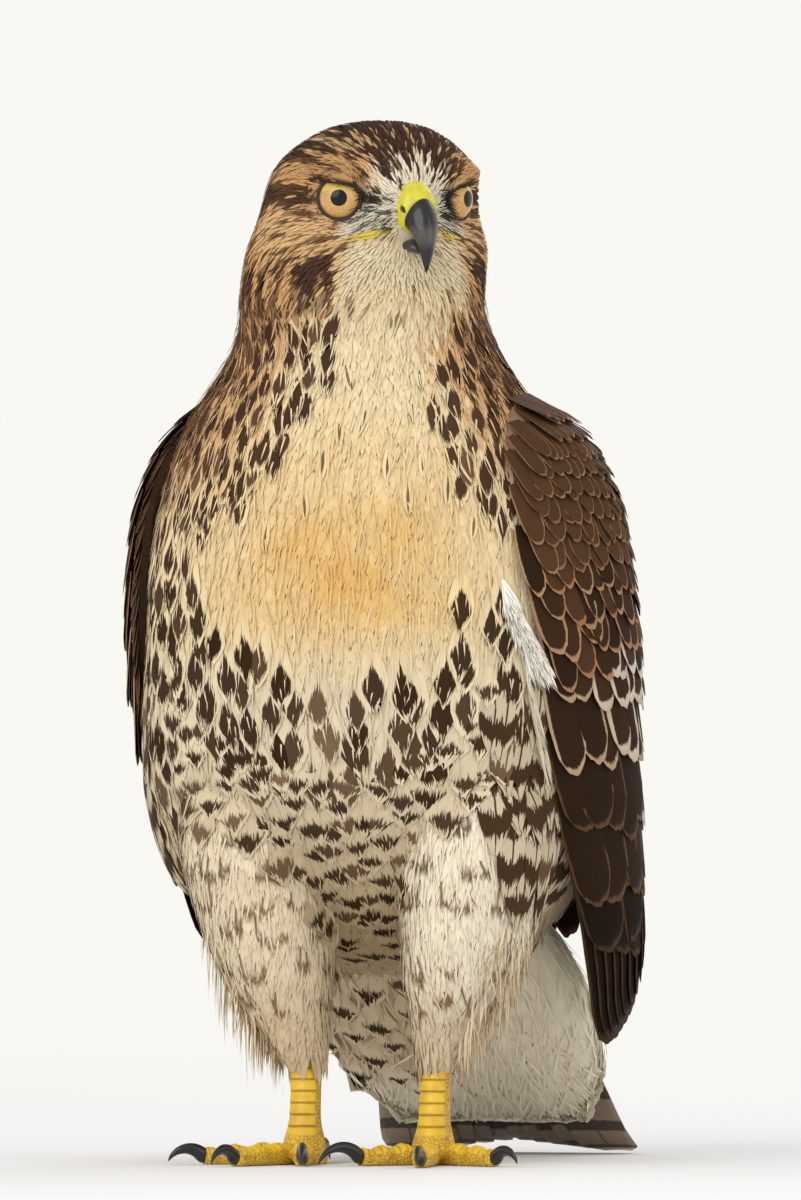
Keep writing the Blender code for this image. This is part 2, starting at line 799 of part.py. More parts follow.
def make_thigh(side, name):
    rings = []
    for height in np.linspace(0.178, 0.047, 9):
        rings.append([thigh_point(side, angle, height, height) for angle in ring(18)])
    locks = [make_thigh_lock(side, *lock) for lock in THIGH_LOCKS]
    return closed_loft(name, rings), locks


def tarsus_point(side, angle, height, outward=0.0):
    back, wide, deep = section(TARSUS_SECTIONS, height)
    left = side * LEG_SIDE + (wide + outward) * math.sin(angle)
    return body_point(left, back - (deep + outward) * math.cos(angle), height)


def make_tarsus(side, name):
    """The bare leg and the ball of the foot, with overlapping plates raised down its front."""
    levels = [(row[0], 0.0) for row in TARSUS_SECTIONS if row[0] < PLATE_LOWEST]
    for index in range(PLATES):
        low = PLATE_LOWEST + PLATE_PITCH * index
        levels += [(low, 0.0), (low + 0.0004, PLATE_RISE)]
    levels.append((TARSUS_TOP, 0.0))
    rings = []
    for height, rise in sorted(levels):
        rings.append([
            tarsus_point(side, angle, height, rise * max(0.0, math.cos(angle)) ** 0.5)
            for angle in ring(14)
        ])
    return closed_loft(name, rings)


# Toes: name, direction in degrees from straight ahead towards +X, length, claw length
LEFT_TOES = (
    ("middle", -6, 0.050, 0.022),
    ("inner", -54, 0.034, 0.027),
    ("outer", 36, 0.040, 0.019),
    ("hind", 170, 0.024, 0.028),
)
RIGHT_TOES = (
    ("middle", -33, 0.050, 0.022),
    ("inner", -1, 0.034, 0.027),
    ("outer", -74, 0.040, 0.019),
    ("hind", 168, 0.024, 0.028),
)


def toe_frame(side, heading):
    foot = body_point(side * LEG_SIDE, FOOT_BACK, 0)
    ahead = Vector((math.sin(heading), -math.cos(heading), 0))
    across = Vector((math.cos(heading), math.sin(heading), 0))
    return foot, ahead, across


def make_toe(side, heading, length, name):
    """A toe with pads below and a few raised plates on top, next to the claw."""
    foot, ahead, across = toe_frame(side, heading)
    up = Vector((0, 0, 1))
    pads = 3 if length > 0.03 else 2
    stations = [(share, 0.0) for share in np.linspace(0, 1 - TOE_PLATES * TOE_PLATE_PITCH / length, 4)]
    for index in range(TOE_PLATES):
        end = stations[-1][0] + TOE_PLATE_PITCH / length
        stations += [(end - 0.0005 / length, TOE_PLATE_RISE), (end, 0.0)]
    rings = []
    for share, rise in stations:
        swell = 1 + 0.08 * math.cos(2 * math.pi * pads * share)
        radius = TOE_RADIUS * (1.05 - 0.22 * share) * swell
        centre = foot + ahead * (TOE_ROOT + share * length)
        centre.z = radius * 0.86
        points = tube_ring(centre, across, up, radius, radius, 10, 0.0)
        for point, angle in zip(points, ring(10)):
            point += (point - centre).normalized() * rise * max(0.0, math.cos(angle))
        rings.append(points)
    return closed_loft(name, rings)


def make_talon(side, heading, toe_length, length, name):
    """A claw that leaves the toe's end rising and curls down to the floor."""
    foot, ahead, across = toe_frame(side, heading)
    start = foot + ahead * (TOE_ROOT + toe_length + GAP)
    thick = 0.0035
    height = 0.0040
    rings = []
    steps = 7
    place = start + Vector((0, 0, height))
    pitch = math.radians(38)
    turn = math.radians(112)
    stride = length / (steps - 1)
    tip = None
    for index in range(steps):
        share = index / (steps - 1)
        slope = pitch - turn * share
        direction = ahead * math.cos(slope) + Vector((0, 0, 1)) * math.sin(slope)
        up = Vector((0, 0, 1)) * math.cos(slope) - ahead * math.sin(slope)
        radius = thick * (1 - share) ** 0.7
        if index < steps - 1:
            facing = up if index else Vector((0, 0, 1))
            rings.append(tube_ring(place, across, facing, radius * 0.8, radius, 8, 0.0004))
        else:
            tip = place.copy()
            tip.z = max(tip.z, 0.0002)
        place = place + direction * stride
    return closed_loft(name, rings, None, tip)


def clear_scene():
    for old in list(bpy.data.objects):
        bpy.data.objects.remove(old)


def file_under(root, collection, made, finish):
    made.data.materials.clear()
    made.data.materials.append(finish)
    made.parent = root
    for old in list(made.users_collection):
        old.objects.unlink(made)
    collection.objects.link(made)
    made.data.shade_smooth()


def main():
    clear_scene()
    collection = bpy.data.collections.new("red_tailed_hawk")
    bpy.context.scene.collection.children.link(collection)
    root = bpy.data.objects.new("hawk_root", None)
    collection.objects.link(root)

    cream = material("breast_cream", CREAM, 0.85)
    white = material("down_white", WHITE, 0.9)
    brown = material("wing_brown", BROWN, 0.7)
    tail_brown = material("tail_brown", TAIL_BROWN, 0.7)
    head_brown = material("head_brown", HEAD_BROWN, 0.8)
    yellow = material("leg_yellow", YELLOW, 0.5)
    horn = material("claw_horn", HORN, 0.25)
    amber = material("iris_amber", AMBER, 0.05)

    torso = make_torso()
    neck = make_neck()
    head, head_cutters = make_head()
    cere, upper, lower = make_bill()
    head_cutters += [grown(cere, GAP), grown(lower, GAP)]
    combine(head, head_cutters, "DIFFERENCE")
    combine(lower, [grown(upper, GAP), grown(cere, GAP)], "DIFFERENCE")

    tail, tail_vanes = make_tail()
    combine(tail, tail_vanes, "UNION")
    combine(tail, [grown(torso, GAP)], "DIFFERENCE")
    undertail = make_undertail()
    combine(undertail, [grown(torso, GAP)], "DIFFERENCE")

    for side, word in ((1, "left"), (-1, "right")):
        wing, vanes = make_wing(side, f"wing_{word}")
        combine(wing, vanes, "UNION")
        combine(wing, [grown(torso, 1.4 * GAP)], "DIFFERENCE")
        file_under(root, collection, wing, brown)

        thigh, locks = make_thigh(side, f"thigh_{word}")
        combine(thigh, locks, "UNION")
        combine(thigh, [grown(torso, GAP)], "DIFFERENCE")
        file_under(root, collection, thigh, white)

        tarsus = make_tarsus(side, f"tarsus_{word}")
        file_under(root, collection, tarsus, yellow)
        toes = LEFT_TOES if side > 0 else RIGHT_TOES
        foot = [tarsus]
        for toe_name, heading, length, claw in toes:
            turn = math.radians(heading)
            toe = make_toe(side, turn, length, f"toe_{toe_name}_{word}")
            for placed in foot:
                combine(toe, [grown(placed, GAP)], "DIFFERENCE")
            foot.append(toe)
            talon = make_talon(side, turn, length, claw, f"talon_{toe_name}_{word}")
            file_under(root, collection, toe, yellow)
            file_under(root, collection, talon, horn)

        eye = settle(ball(f"eye_{word}", eye_centre(side), EYE_RADIUS))
        file_under(root, collection, eye, amber)

    for made, finish in (
        (torso, cream),
        (neck, head_brown),
        (head, head_brown),
        (cere, yellow),
        (upper, horn),
        (lower, horn),
        (tail, tail_brown),
        (undertail, white),
    ):
        file_under(root, collection, made, finish)


main()
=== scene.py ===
"""A young red-tailed hawk as a museum would show it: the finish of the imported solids.

Metres, +Z up. The bird faces -Y and stands on the floor at z = 0. One skin lies under the coat; every
feather of the coat is a thin mesh vane that is rooted in the skin or on the hull of the folded wing.
"""

import math

import bmesh
import bpy
import numpy as np
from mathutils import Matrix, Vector
from mathutils.bvhtree import BVHTree
from mathutils.kdtree import KDTree


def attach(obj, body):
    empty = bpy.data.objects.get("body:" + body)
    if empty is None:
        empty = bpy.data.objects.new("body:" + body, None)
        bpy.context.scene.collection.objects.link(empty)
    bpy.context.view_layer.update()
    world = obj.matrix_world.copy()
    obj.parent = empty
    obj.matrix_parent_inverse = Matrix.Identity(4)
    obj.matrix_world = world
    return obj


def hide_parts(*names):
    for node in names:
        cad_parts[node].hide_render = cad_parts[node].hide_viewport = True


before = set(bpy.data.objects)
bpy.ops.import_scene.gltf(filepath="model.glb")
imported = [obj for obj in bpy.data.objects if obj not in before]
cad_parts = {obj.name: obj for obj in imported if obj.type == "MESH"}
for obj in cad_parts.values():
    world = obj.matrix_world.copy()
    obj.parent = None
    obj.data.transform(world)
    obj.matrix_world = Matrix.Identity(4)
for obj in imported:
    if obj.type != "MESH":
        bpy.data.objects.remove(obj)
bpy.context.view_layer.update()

# Stance, as in the solids
BODY_YAW = math.radians(15)
HEAD_YAW = math.radians(28)
BODY_X = -0.009
BODY_Y = -0.0853
HEAD_AHEAD = np.array((math.sin(HEAD_YAW), -math.cos(HEAD_YAW), 0))
HEAD_LEFT = np.array((math.cos(HEAD_YAW), math.sin(HEAD_YAW), 0))
HEAD_X = -0.0045
HEAD_Y = -0.0903
HEAD_MIDDLE = 0.420
HEAD_LEAN = 0.10
NECK_BASE = 0.345
HEAD_BASE = 0.378
CROWN = 0.4598
FLOOR_GAP = 0.0006                  # the lowest that a feather comes to the floor

# Level sections: height, then the reach of the form to each side, as in the solids
TORSO_ROWS = (
    (0.345, 0.010, 0.0670, 0.0700, 0.058, 0.057),
    (0.325, 0.012, 0.080, 0.083, 0.068, 0.066),
    (0.300, 0.016, 0.092, 0.093, 0.080, 0.072),
    (0.265, 0.020, 0.099, 0.100, 0.090, 0.077),
    (0.230, 0.026, 0.101, 0.103, 0.094, 0.079),
    (0.195, 0.034, 0.100, 0.107, 0.094, 0.080),
    (0.160, 0.047, 0.096, 0.109, 0.092, 0.077),
    (0.135, 0.060, 0.088, 0.106, 0.086, 0.071),
    (0.118, 0.070, 0.078, 0.097, 0.078, 0.062),
    (0.104, 0.080, 0.064, 0.074, 0.068, 0.052),
    (0.090, 0.092, 0.048, 0.052, 0.052, 0.040),
    (0.082, 0.100, 0.030, 0.032, 0.032, 0.026),
)
HULL_ROWS = (
    (0.352, 0.012, 0.060, 0.050, 0.056),
    (0.340, 0.014, 0.0735, 0.060, 0.066),
    (0.325, 0.016, 0.090, 0.074, 0.074),
    (0.300, 0.020, 0.105, 0.080, 0.080),
    (0.265, 0.025, 0.1125, 0.086, 0.084),
    (0.230, 0.031, 0.1148, 0.088, 0.086),
    (0.195, 0.040, 0.1135, 0.088, 0.086),
    (0.160, 0.054, 0.1110, 0.086, 0.084),
    (0.130, 0.072, 0.1070, 0.080, 0.078),
    (0.100, 0.094, 0.1020, 0.074, 0.070),
    (0.070, 0.116, 0.0945, 0.066, 0.060),
    (0.045, 0.134, 0.0870, 0.056, 0.052),
)
HEAD_ROWS = (
    (0.378, 0.0568, 0.0475, 0.0510),
    (0.390, 0.0562, 0.0445, 0.0510),
    (0.402, 0.0550, 0.0400, 0.0505),
    (0.412, 0.0520, 0.0370, 0.0485),
    (0.420, 0.0502, 0.0360, 0.0470),
    (0.429, 0.0492, 0.0355, 0.0450),
    (0.438, 0.0464, 0.0342, 0.0420),
    (0.4466, 0.0392, 0.0290, 0.0360),
    (0.4530, 0.0300, 0.0215, 0.0280),
    (0.4572, 0.0205, 0.0140, 0.0190),
    (0.4591, 0.0110, 0.0080, 0.0100),
)
HEAD_WEDGE = 0.16
# Forms of the face: degrees from the middle, height, spread sideways and in height, how far it stands out
HEAD_FORMS = (
    ("brow", 50, 0.4372, 26, 0.0040, 0.0040),
    ("eye hollow", 38, 0.4240, 15, 0.0072, -0.0042),
    ("cheek", 72, 0.4050, 26, 0.0100, 0.0015),
    ("lores and forehead", 0, 0.4240, 24, 0.0130, 0.0033),
)
# Wing edges on the hull, in degrees from the breast's middle: height, left front, right front, back
WING_EDGE_ROWS = (
    (0.338, 70, 84, 128),
    (0.325, 55, 80, 150),
    (0.300, 48, 76, 166),
    (0.250, 50, 76, 172),
    (0.213, 52, 80, 174),
    (0.160, 54, 88, 172),
    (0.130, 56, 93, 160),
    (0.095, 61, 95, 142),
    (0.070, 66, 96, 124),
    (0.045, 78, 97, 106),
)
THIGH_ROWS = (
    # height, side, back, half width, half depth
    (0.178, 0.048, 0.016, 0.030, 0.044),
    (0.160, 0.050, 0.012, 0.034, 0.047),
    (0.138, 0.050, 0.009, 0.034, 0.045),
    (0.115, 0.047, 0.008, 0.031, 0.040),
    (0.085, 0.042, 0.010, 0.0255, 0.032),
    (0.062, 0.036, 0.0125, 0.0175, 0.021),
    (0.047, 0.0305, 0.0135, 0.0112, 0.0130),
)
TARSUS_ROWS = (
    # height, back, half width, half depth
    (0.0620, 0.0140, 0.0060, 0.0070),
    (0.0466, 0.0140, 0.0068, 0.0080),
    (0.030, 0.0125, 0.0067, 0.0078),
    (0.018, 0.0112, 0.0072, 0.0084),
    (0.010, 0.0102, 0.0092, 0.0104),
    (0.004, 0.0098, 0.0104, 0.0118),
    (0.000, 0.0098, 0.0100, 0.0112),
)
UNDERTAIL_ROWS = (
    # run along the tail, half width, thickness
    (0.000, 0.034, 0.030),
    (0.030, 0.052, 0.040),
    (0.060, 0.064, 0.042),
    (0.095, 0.067, 0.036),
    (0.125, 0.063, 0.027),
    (0.150, 0.055, 0.017),
    (0.172, 0.044, 0.006),
)

# Eyes, in the head's own frame
EYE_RADIUS = 0.0110
EYE_SIDE = 0.0268
EYE_FORWARD = 0.0185
EYE_HEIGHT = 0.4248
EYE_TURN = math.radians(31)
LID_RADIUS = 0.0094
# The brow's lower edge: degrees round the eye's axis, outward from the bill, and height over its middle
BROW_EDGE = (
    (-80, -0.0035), (-62, -0.0002), (-35, 0.0044), (0, 0.0060), (35, 0.0070), (60, 0.0078), (85, 0.0070)
)
BROW_REACH = (0.0024, 0.0068, 0.0155)   # how far the brow stands out, and where its top lies, out and up
MOUTH = ((37, 0.4066), (30, 0.4076), (22, 0.4088), (15, 0.4096), (9, 0.4096))
LIPS = ((0.0006, 0.00120), (-0.0011, 0.00060))   # height over the mouth's line, and half the thickness
LIP_POINTS = 28

# Bill sections: forward and height of the ridge, the same of the edge below it, half width
CERE_SECTIONS = (
    (0.0330, 0.4318, 0.0300, 0.4085, 0.0092),
    (0.0405, 0.4322, 0.0355, 0.4080, 0.0098),
    (0.0446, 0.4290, 0.0390, 0.4086, 0.0092),
    (0.0474, 0.4249, 0.0415, 0.4096, 0.0079),
)
UPPER_SECTIONS = (
    (0.0478, 0.4244, 0.0419, 0.4091, 0.0075),
    (0.0502, 0.4212, 0.0442, 0.4078, 0.0069),
    (0.0522, 0.4168, 0.0460, 0.4062, 0.0061),
    (0.0534, 0.4114, 0.0472, 0.4042, 0.0050),
    (0.0537, 0.4060, 0.0480, 0.4015, 0.0038),
    (0.0530, 0.4008, 0.0486, 0.3985, 0.0027),
    (0.0516, 0.3960, 0.0490, 0.3950, 0.0016),
)
BILL_TIP = (0.0498, 0.3914)
LOWER_SECTIONS = (
    (0.0320, 0.4074, 0.0325, 0.4010, 0.0066),
    (0.0380, 0.4070, 0.0385, 0.4008, 0.0060),
    (0.0425, 0.4060, 0.0425, 0.4004, 0.0047),
    (0.0452, 0.4040, 0.0450, 0.4000, 0.0030),
)
RIDGE_NARROWING = 0.25
NOSTRIL = (0.0086, 0.0432, 0.4198)

# Tail
TAIL_BASE_BACK = 0.100
TAIL_BASE_HEIGHT = 0.150
TAIL_SLOPE = math.radians(50)
TAIL_BEND = 0.040
TAIL_TURN = math.radians(3)
TAIL_FEATHERS = 12
TAIL_PITCH = 0.0011
TAIL_UNDERSIDE = -0.0005
VANE = 0.0007

# Feet: toe name, heading in degrees from straight ahead towards +X, length, claw length
LEG_SIDE = 0.0295
FOOT_BACK = 0.010
TOE_RADIUS = 0.0048
TOE_ROOT = 0.006
GAP = 0.0003
TOES = {
    "left": (
        ("middle", -6, 0.050, 0.022),
        ("inner", -54, 0.034, 0.027),
        ("outer", 36, 0.040, 0.019),
        ("hind", 170, 0.024, 0.028),
    ),
    "right": (
        ("middle", -33, 0.050, 0.022),
        ("inner", -1, 0.034, 0.027),
        ("outer", -74, 0.040, 0.019),
        ("hind", 168, 0.024, 0.028),
    ),
}
SIDES = (("left", 1), ("right", -1))


# Numbers and frames

UP = np.array((0.0, 0.0, 1.0))


def srgb(red, green, blue):
    """A colour given as it looks on screen, from 0 to 255, in the units that shaders use."""
    share = np.array((red, green, blue)) / 255.0
    return np.where(share <= 0.04045, share / 12.92, ((share + 0.055) / 1.055) ** 2.4)


def smooth(low, high, value):
    share = np.clip((value - low) / (high - low), 0, 1)
    return share * share * (3 - 2 * share)


def between(value, low, high):
    return (value > low) & (value <= high)


def hump(middle, spread, value):
    return np.exp(-(((value - middle) / spread) ** 2))


def blend(start, end, share):
    """Mix rows of colours by a share for each row."""
    return start + (end - start) * np.asarray(share)[..., None]


def unit(vectors):
    return vectors / np.maximum(np.linalg.norm(vectors, axis=-1, keepdims=True), 1e-12)


class Sections:
    """A table of sections, read at any height by a smooth curve through its rows."""

    def __init__(self, rows):
        table = np.array(sorted(rows), float)
        self.heights = table[:, 0]
        self.values = table[:, 1:]
        self.slopes = np.gradient(self.values, self.heights, axis=0)

    def __call__(self, height):
        height = np.clip(np.asarray(height, float), self.heights[0], self.heights[-1])
        index = np.searchsorted(self.heights, height, side="right") - 1
        index = np.clip(index, 0, len(self.heights) - 2)
        span = (self.heights[index + 1] - self.heights[index])[..., None]
        t = (height - self.heights[index])[..., None] / span
        found = self.values[index] * (2 * t**3 - 3 * t**2 + 1)
        found = found + self.values[index + 1] * (3 * t**2 - 2 * t**3)
        found = found + self.slopes[index] * span * (t**3 - 2 * t**2 + t)
        found = found + self.slopes[index + 1] * span * (t**3 - t**2)
        return np.moveaxis(found, -1, 0)


TORSO = Sections(TORSO_ROWS)
HULL = Sections(HULL_ROWS)
HEAD = Sections(HEAD_ROWS)
WING_EDGES = Sections(WING_EDGE_ROWS)
THIGH = Sections(THIGH_ROWS)
TARSUS = Sections(TARSUS_ROWS)
UNDERTAIL = Sections(UNDERTAIL_ROWS)


def body_place(left, back, height):
    across = BODY_X + left * math.cos(BODY_YAW) + back * math.sin(BODY_YAW)
    along = BODY_Y - left * math.sin(BODY_YAW) + back * math.cos(BODY_YAW)
    return np.stack(np.broadcast_arrays(across, along, height), -1)


def body_parts(places):
    """How far places are to the left of and behind the body's axis, and their height."""
    across = places[..., 0] - BODY_X
    along = places[..., 1] - BODY_Y
    left = across * math.cos(BODY_YAW) - along * math.sin(BODY_YAW)
    back = across * math.sin(BODY_YAW) + along * math.cos(BODY_YAW)
    return left, back, places[..., 2]


def head_place(left, forward, height, lean=HEAD_LEAN):
    middle = HEAD_X + lean * (height - HEAD_MIDDLE)
    across = middle + left * math.cos(HEAD_YAW) + forward * math.sin(HEAD_YAW)
    along = HEAD_Y + left * math.sin(HEAD_YAW) - forward * math.cos(HEAD_YAW)
    return np.stack(np.broadcast_arrays(across, along, height), -1)


def head_parts(places):
    across = places[..., 0] - HEAD_X - HEAD_LEAN * (places[..., 2] - HEAD_MIDDLE)
    along = places[..., 1] - HEAD_Y
    left = across * math.cos(HEAD_YAW) + along * math.sin(HEAD_YAW)
    forward = across * math.sin(HEAD_YAW) - along * math.cos(HEAD_YAW)
    return left, forward, places[..., 2]


def head_turn(places):
    """Degrees from straight ahead, round to the left, in the head's frame."""
    left, forward, _ = head_parts(places)
    return np.degrees(np.arctan2(left, forward))


def hull_place(side, angle, height, outward):
    middle, width, front, back = HULL(height)
    depth = np.where(np.cos(angle) > 0, front, back)
    normal = unit(np.stack([np.sin(angle) / width, -np.cos(angle) / depth], -1))
    left = width * np.sin(angle) + outward * normal[..., 0]
    behind = middle - depth * np.cos(angle) + outward * normal[..., 1]
    return body_place(side * left, behind, height)


def hull_turn(places):
    """Degrees from the breast's middle, round to the left, on the wings' hull."""
    left, back, height = body_parts(places)
    middle, width, front, rear = HULL(height)
    ahead = middle - back
    depth = np.where(ahead > 0, front, rear)
    return np.degrees(np.arctan2(left / width, ahead / depth))


def wing_turn(side, share, height):
    left_front, right_front, back = WING_EDGES(height)
    front = left_front if side > 0 else right_front
    return np.radians(front + (back - front) * share)


def wing_share(places):
    """How far back a place is between a wing's front edge, 0, and its back edge, 1."""
    turn = hull_turn(places)
    left_front, right_front, back = WING_EDGES(places[..., 2])
    front = np.where(turn > 0, left_front, right_front)
    return (np.abs(turn) - front) / (back - front)


def tail_line(run):
    straight = (TAIL_BASE_HEIGHT - TAIL_BEND * (1 - math.cos(TAIL_SLOPE))) / math.sin(TAIL_SLOPE)
    bend = TAIL_BEND * TAIL_SLOPE
    down = np.minimum(run, straight)
    slope = TAIL_SLOPE - np.clip(run - straight, 0, bend) / TAIL_BEND
    back = TAIL_BASE_BACK + down * math.cos(TAIL_SLOPE)
    back = back + TAIL_BEND * (math.sin(TAIL_SLOPE) - np.sin(slope)) + np.maximum(run - straight - bend, 0)
    height = TAIL_BASE_HEIGHT - down * math.sin(TAIL_SLOPE)
    height = height - TAIL_BEND * (np.cos(slope) - math.cos(TAIL_SLOPE))
    return back, height, slope


def tail_place(left, run, above):
    back, height, slope = tail_line(np.asarray(run, float))
    behind = back + above * np.sin(slope)
    turn = math.sin(TAIL_TURN) * (back - TAIL_BASE_BACK)
    return body_place(left + turn, behind, height + above * np.cos(slope))


def head_swell(angle, height):
    swell = np.zeros(np.broadcast(angle, height).shape)
    for _, side_angle, level, spread, rise, amount in HEAD_FORMS:
        for sign in (1, -1):
            turn = (np.degrees(angle) - sign * side_angle + 180) % 360 - 180
            swell = swell + amount * hump(0, spread, turn) * hump(level, rise, height)
    return swell


def head_surface(angle, height, outward=0.0):
    side, front, back = HEAD(height)
    depth = np.where(np.cos(angle) > 0, front, back)
    swell = head_swell(angle, height) + outward
    wedge = 1 - HEAD_WEDGE * np.maximum(0, np.cos(angle)) ** 2
    return head_place((side + swell) * np.sin(angle) * wedge, (depth + swell) * np.cos(angle), height)


def torso_surface(angle, height):
    middle, left, right, front, back = TORSO(height)
    width = np.where(np.sin(angle) > 0, left, right)
    depth = np.where(np.cos(angle) > 0, front, back)
    return body_place(width * np.sin(angle), middle - depth * np.cos(angle), height)


def thigh_surface(side, angle, height, outward=0.0):
    out, back, wide, deep = THIGH(height)
    left = out + (wide + outward) * np.sin(angle)
    return body_place(side * left, back - (deep + outward) * np.cos(angle), height)


def eye_centre(side):
    return head_place(side * EYE_SIDE, EYE_FORWARD, EYE_HEIGHT)


def eye_axis(side):
    return HEAD_AHEAD * math.cos(EYE_TURN * side) + HEAD_LEFT * math.sin(EYE_TURN * side)


def eye_outward(side):
    """Level, across the eye's axis and away from the bill."""
    return side * (HEAD_LEFT * math.cos(EYE_TURN * side) - HEAD_AHEAD * math.sin(EYE_TURN * side))


def eye_parts(points, side):
    """How far points are along the eye's axis, outward and up from its middle."""
    offset = points - eye_centre(side)
    return offset @ eye_axis(side), offset @ eye_outward(side), offset[..., 2]


def brow_height(along, outward):
    turn = np.degrees(np.arctan2(outward, along))
    angles, heights = np.array(BROW_EDGE).T
    return np.interp(turn, angles, heights)


def turns(count):
    return np.arange(count) * 2 * math.pi / count


# Meshes


def add_object(name, mesh):
    made = bpy.data.objects.new(name, mesh)
    bpy.context.scene.collection.objects.link(made)
    return made


def mesh_of(name, points, faces):
    """A mesh from arrays of points and of faces that all have the same number of corners."""
    mesh = bpy.data.meshes.new(name)
    faces = np.asarray(faces, np.int32)
    corners = faces.shape[1]
    mesh.vertices.add(len(points))
    mesh.vertices.foreach_set("co", np.asarray(points, np.float32).ravel())
    mesh.loops.add(faces.size)
    mesh.loops.foreach_set("vertex_index", faces.ravel())
    mesh.polygons.add(len(faces))
    mesh.polygons.foreach_set("loop_start", np.arange(0, faces.size, corners, dtype=np.int32))
    mesh.update(calc_edges=True)
    return mesh


def set_attribute(mesh, name, values):
    """Numbers, vectors or colours for a mesh's points, by how many numbers each has."""
    values = np.asarray(values, np.float32)
    width = values.shape[1] if values.ndim > 1 else 1
    kind, field = {1: ("FLOAT", "value"), 3: ("FLOAT_VECTOR", "vector"), 4: ("FLOAT_COLOR", "color")}[width]
    layer = mesh.attributes.new(name, kind, "POINT")
    layer.data.foreach_set(field, values.ravel())


def loft_faces(rows, columns, first=0):
    """Triangles of a tube of rings, closed by a fan at each end; the two fan middles come last."""
    i, j = np.meshgrid(np.arange(rows - 1), np.arange(columns), indexing="ij")
    a = i * columns + j
    b = i * columns + (j + 1) % columns
    c = b + columns
    d = a + columns
    sides = np.concatenate([np.stack([a, b, c], -1).reshape(-1, 3), np.stack([a, c, d], -1).reshape(-1, 3)])
    j = np.arange(columns)
    low = np.stack([(j + 1) % columns, j, np.full(columns, rows * columns)], -1)
    top = (rows - 1) * columns
    high = np.stack([top + j, top + (j + 1) % columns, np.full(columns, rows * columns + 1)], -1)
    return first + np.concatenate([sides, low, high])


def loft(rings, start=None, end=None):
    """Points and triangles of a closed form through rings; each end is a point or a flat fan."""
    rings = np.asarray(rings, float)
    start = rings[0].mean(0) if start is None else start
    end = rings[-1].mean(0) if end is None else end
    points = np.concatenate([rings.reshape(-1, 3), [start, end]])
    return points, loft_faces(rings.shape[0], rings.shape[1])


def joined(parts):
    """Several sets of points and triangles as one."""
    points, faces, count = [], [], 0
    for part_points, part_faces in parts:
        points.append(part_points)
        faces.append(part_faces + count)
        count += len(part_points)
    return np.concatenate(points), np.concatenate(faces)


def outward_faces(mesh):
    shape = bmesh.new()
    shape.from_mesh(mesh)
    bmesh.ops.recalc_face_normals(shape, faces=shape.faces)
    shape.to_mesh(mesh)
    shape.free()


def remeshed(name, parts, voxel, smoothing):
    """One even closed surface round several overlapping closed forms."""
    mesh = mesh_of(name, *joined(parts))
    outward_faces(mesh)
    made = add_object(name, mesh)
    remesh = made.modifiers.new("remesh", "REMESH")
    remesh.mode = "VOXEL"
    remesh.voxel_size = voxel
    relax = made.modifiers.new("relax", "SMOOTH")
    relax.iterations = smoothing
    relax.factor = 0.5
    depsgraph = bpy.context.evaluated_depsgraph_get()
    mesh = bpy.data.meshes.new_from_object(made.evaluated_get(depsgraph))
    made.modifiers.clear()
    made.data = mesh
    return made


def points_of(mesh):
    points = np.empty(len(mesh.vertices) * 3, np.float32)
    mesh.vertices.foreach_get("co", points)
    return points.reshape(-1, 3).astype(float)


def triangles_of(mesh):
    mesh.calc_loop_triangles()
    corners = np.empty(len(mesh.loop_triangles) * 3, np.int32)
    mesh.loop_triangles.foreach_get("vertices", corners)
    return corners.reshape(-1, 3)


def normals_of(mesh):
    normals = np.empty(len(mesh.vertices) * 3, np.float32)
    mesh.vertex_normals.foreach_get("vector", normals)
    return normals.reshape(-1, 3).astype(float)


def set_points(mesh, points):
    mesh.vertices.foreach_set("co", np.asarray(points, np.float32).ravel())
    mesh.update()


def rod_rings(path, radii, count, flat=1.0):
    """Rings round a path; flat below 1 makes the rod lower than it is wide."""
    path = np.asarray(path, float)
    ahead = unit(np.gradient(path, axis=0))
    across = unit(np.cross(ahead, (0, 0, 1)))
    up = np.cross(across, ahead)
    angle = turns(count)[None, :, None]
    radii = np.asarray(radii)[:, None, None]
    return path[:, None] + radii * (across[:, None] * np.sin(angle) + flat * up[:, None] * np.cos(angle))


def curve_through(points, count):
    """A smooth curve through points, read at evenly spaced steps."""
    points = np.asarray(points, float)
    slopes = np.gradient(points, axis=0)
    place = np.linspace(0, len(points) - 1, count)
    index = np.minimum(place.astype(int), len(points) - 2)
    t = (place - index)[:, None]
    found = points[index] * (2 * t**3 - 3 * t**2 + 1) + points[index + 1] * (3 * t**2 - 2 * t**3)
    return found + slopes[index] * (t**3 - 2 * t**2 + t) + slopes[index + 1] * (t**3 - t**2)


# Materials


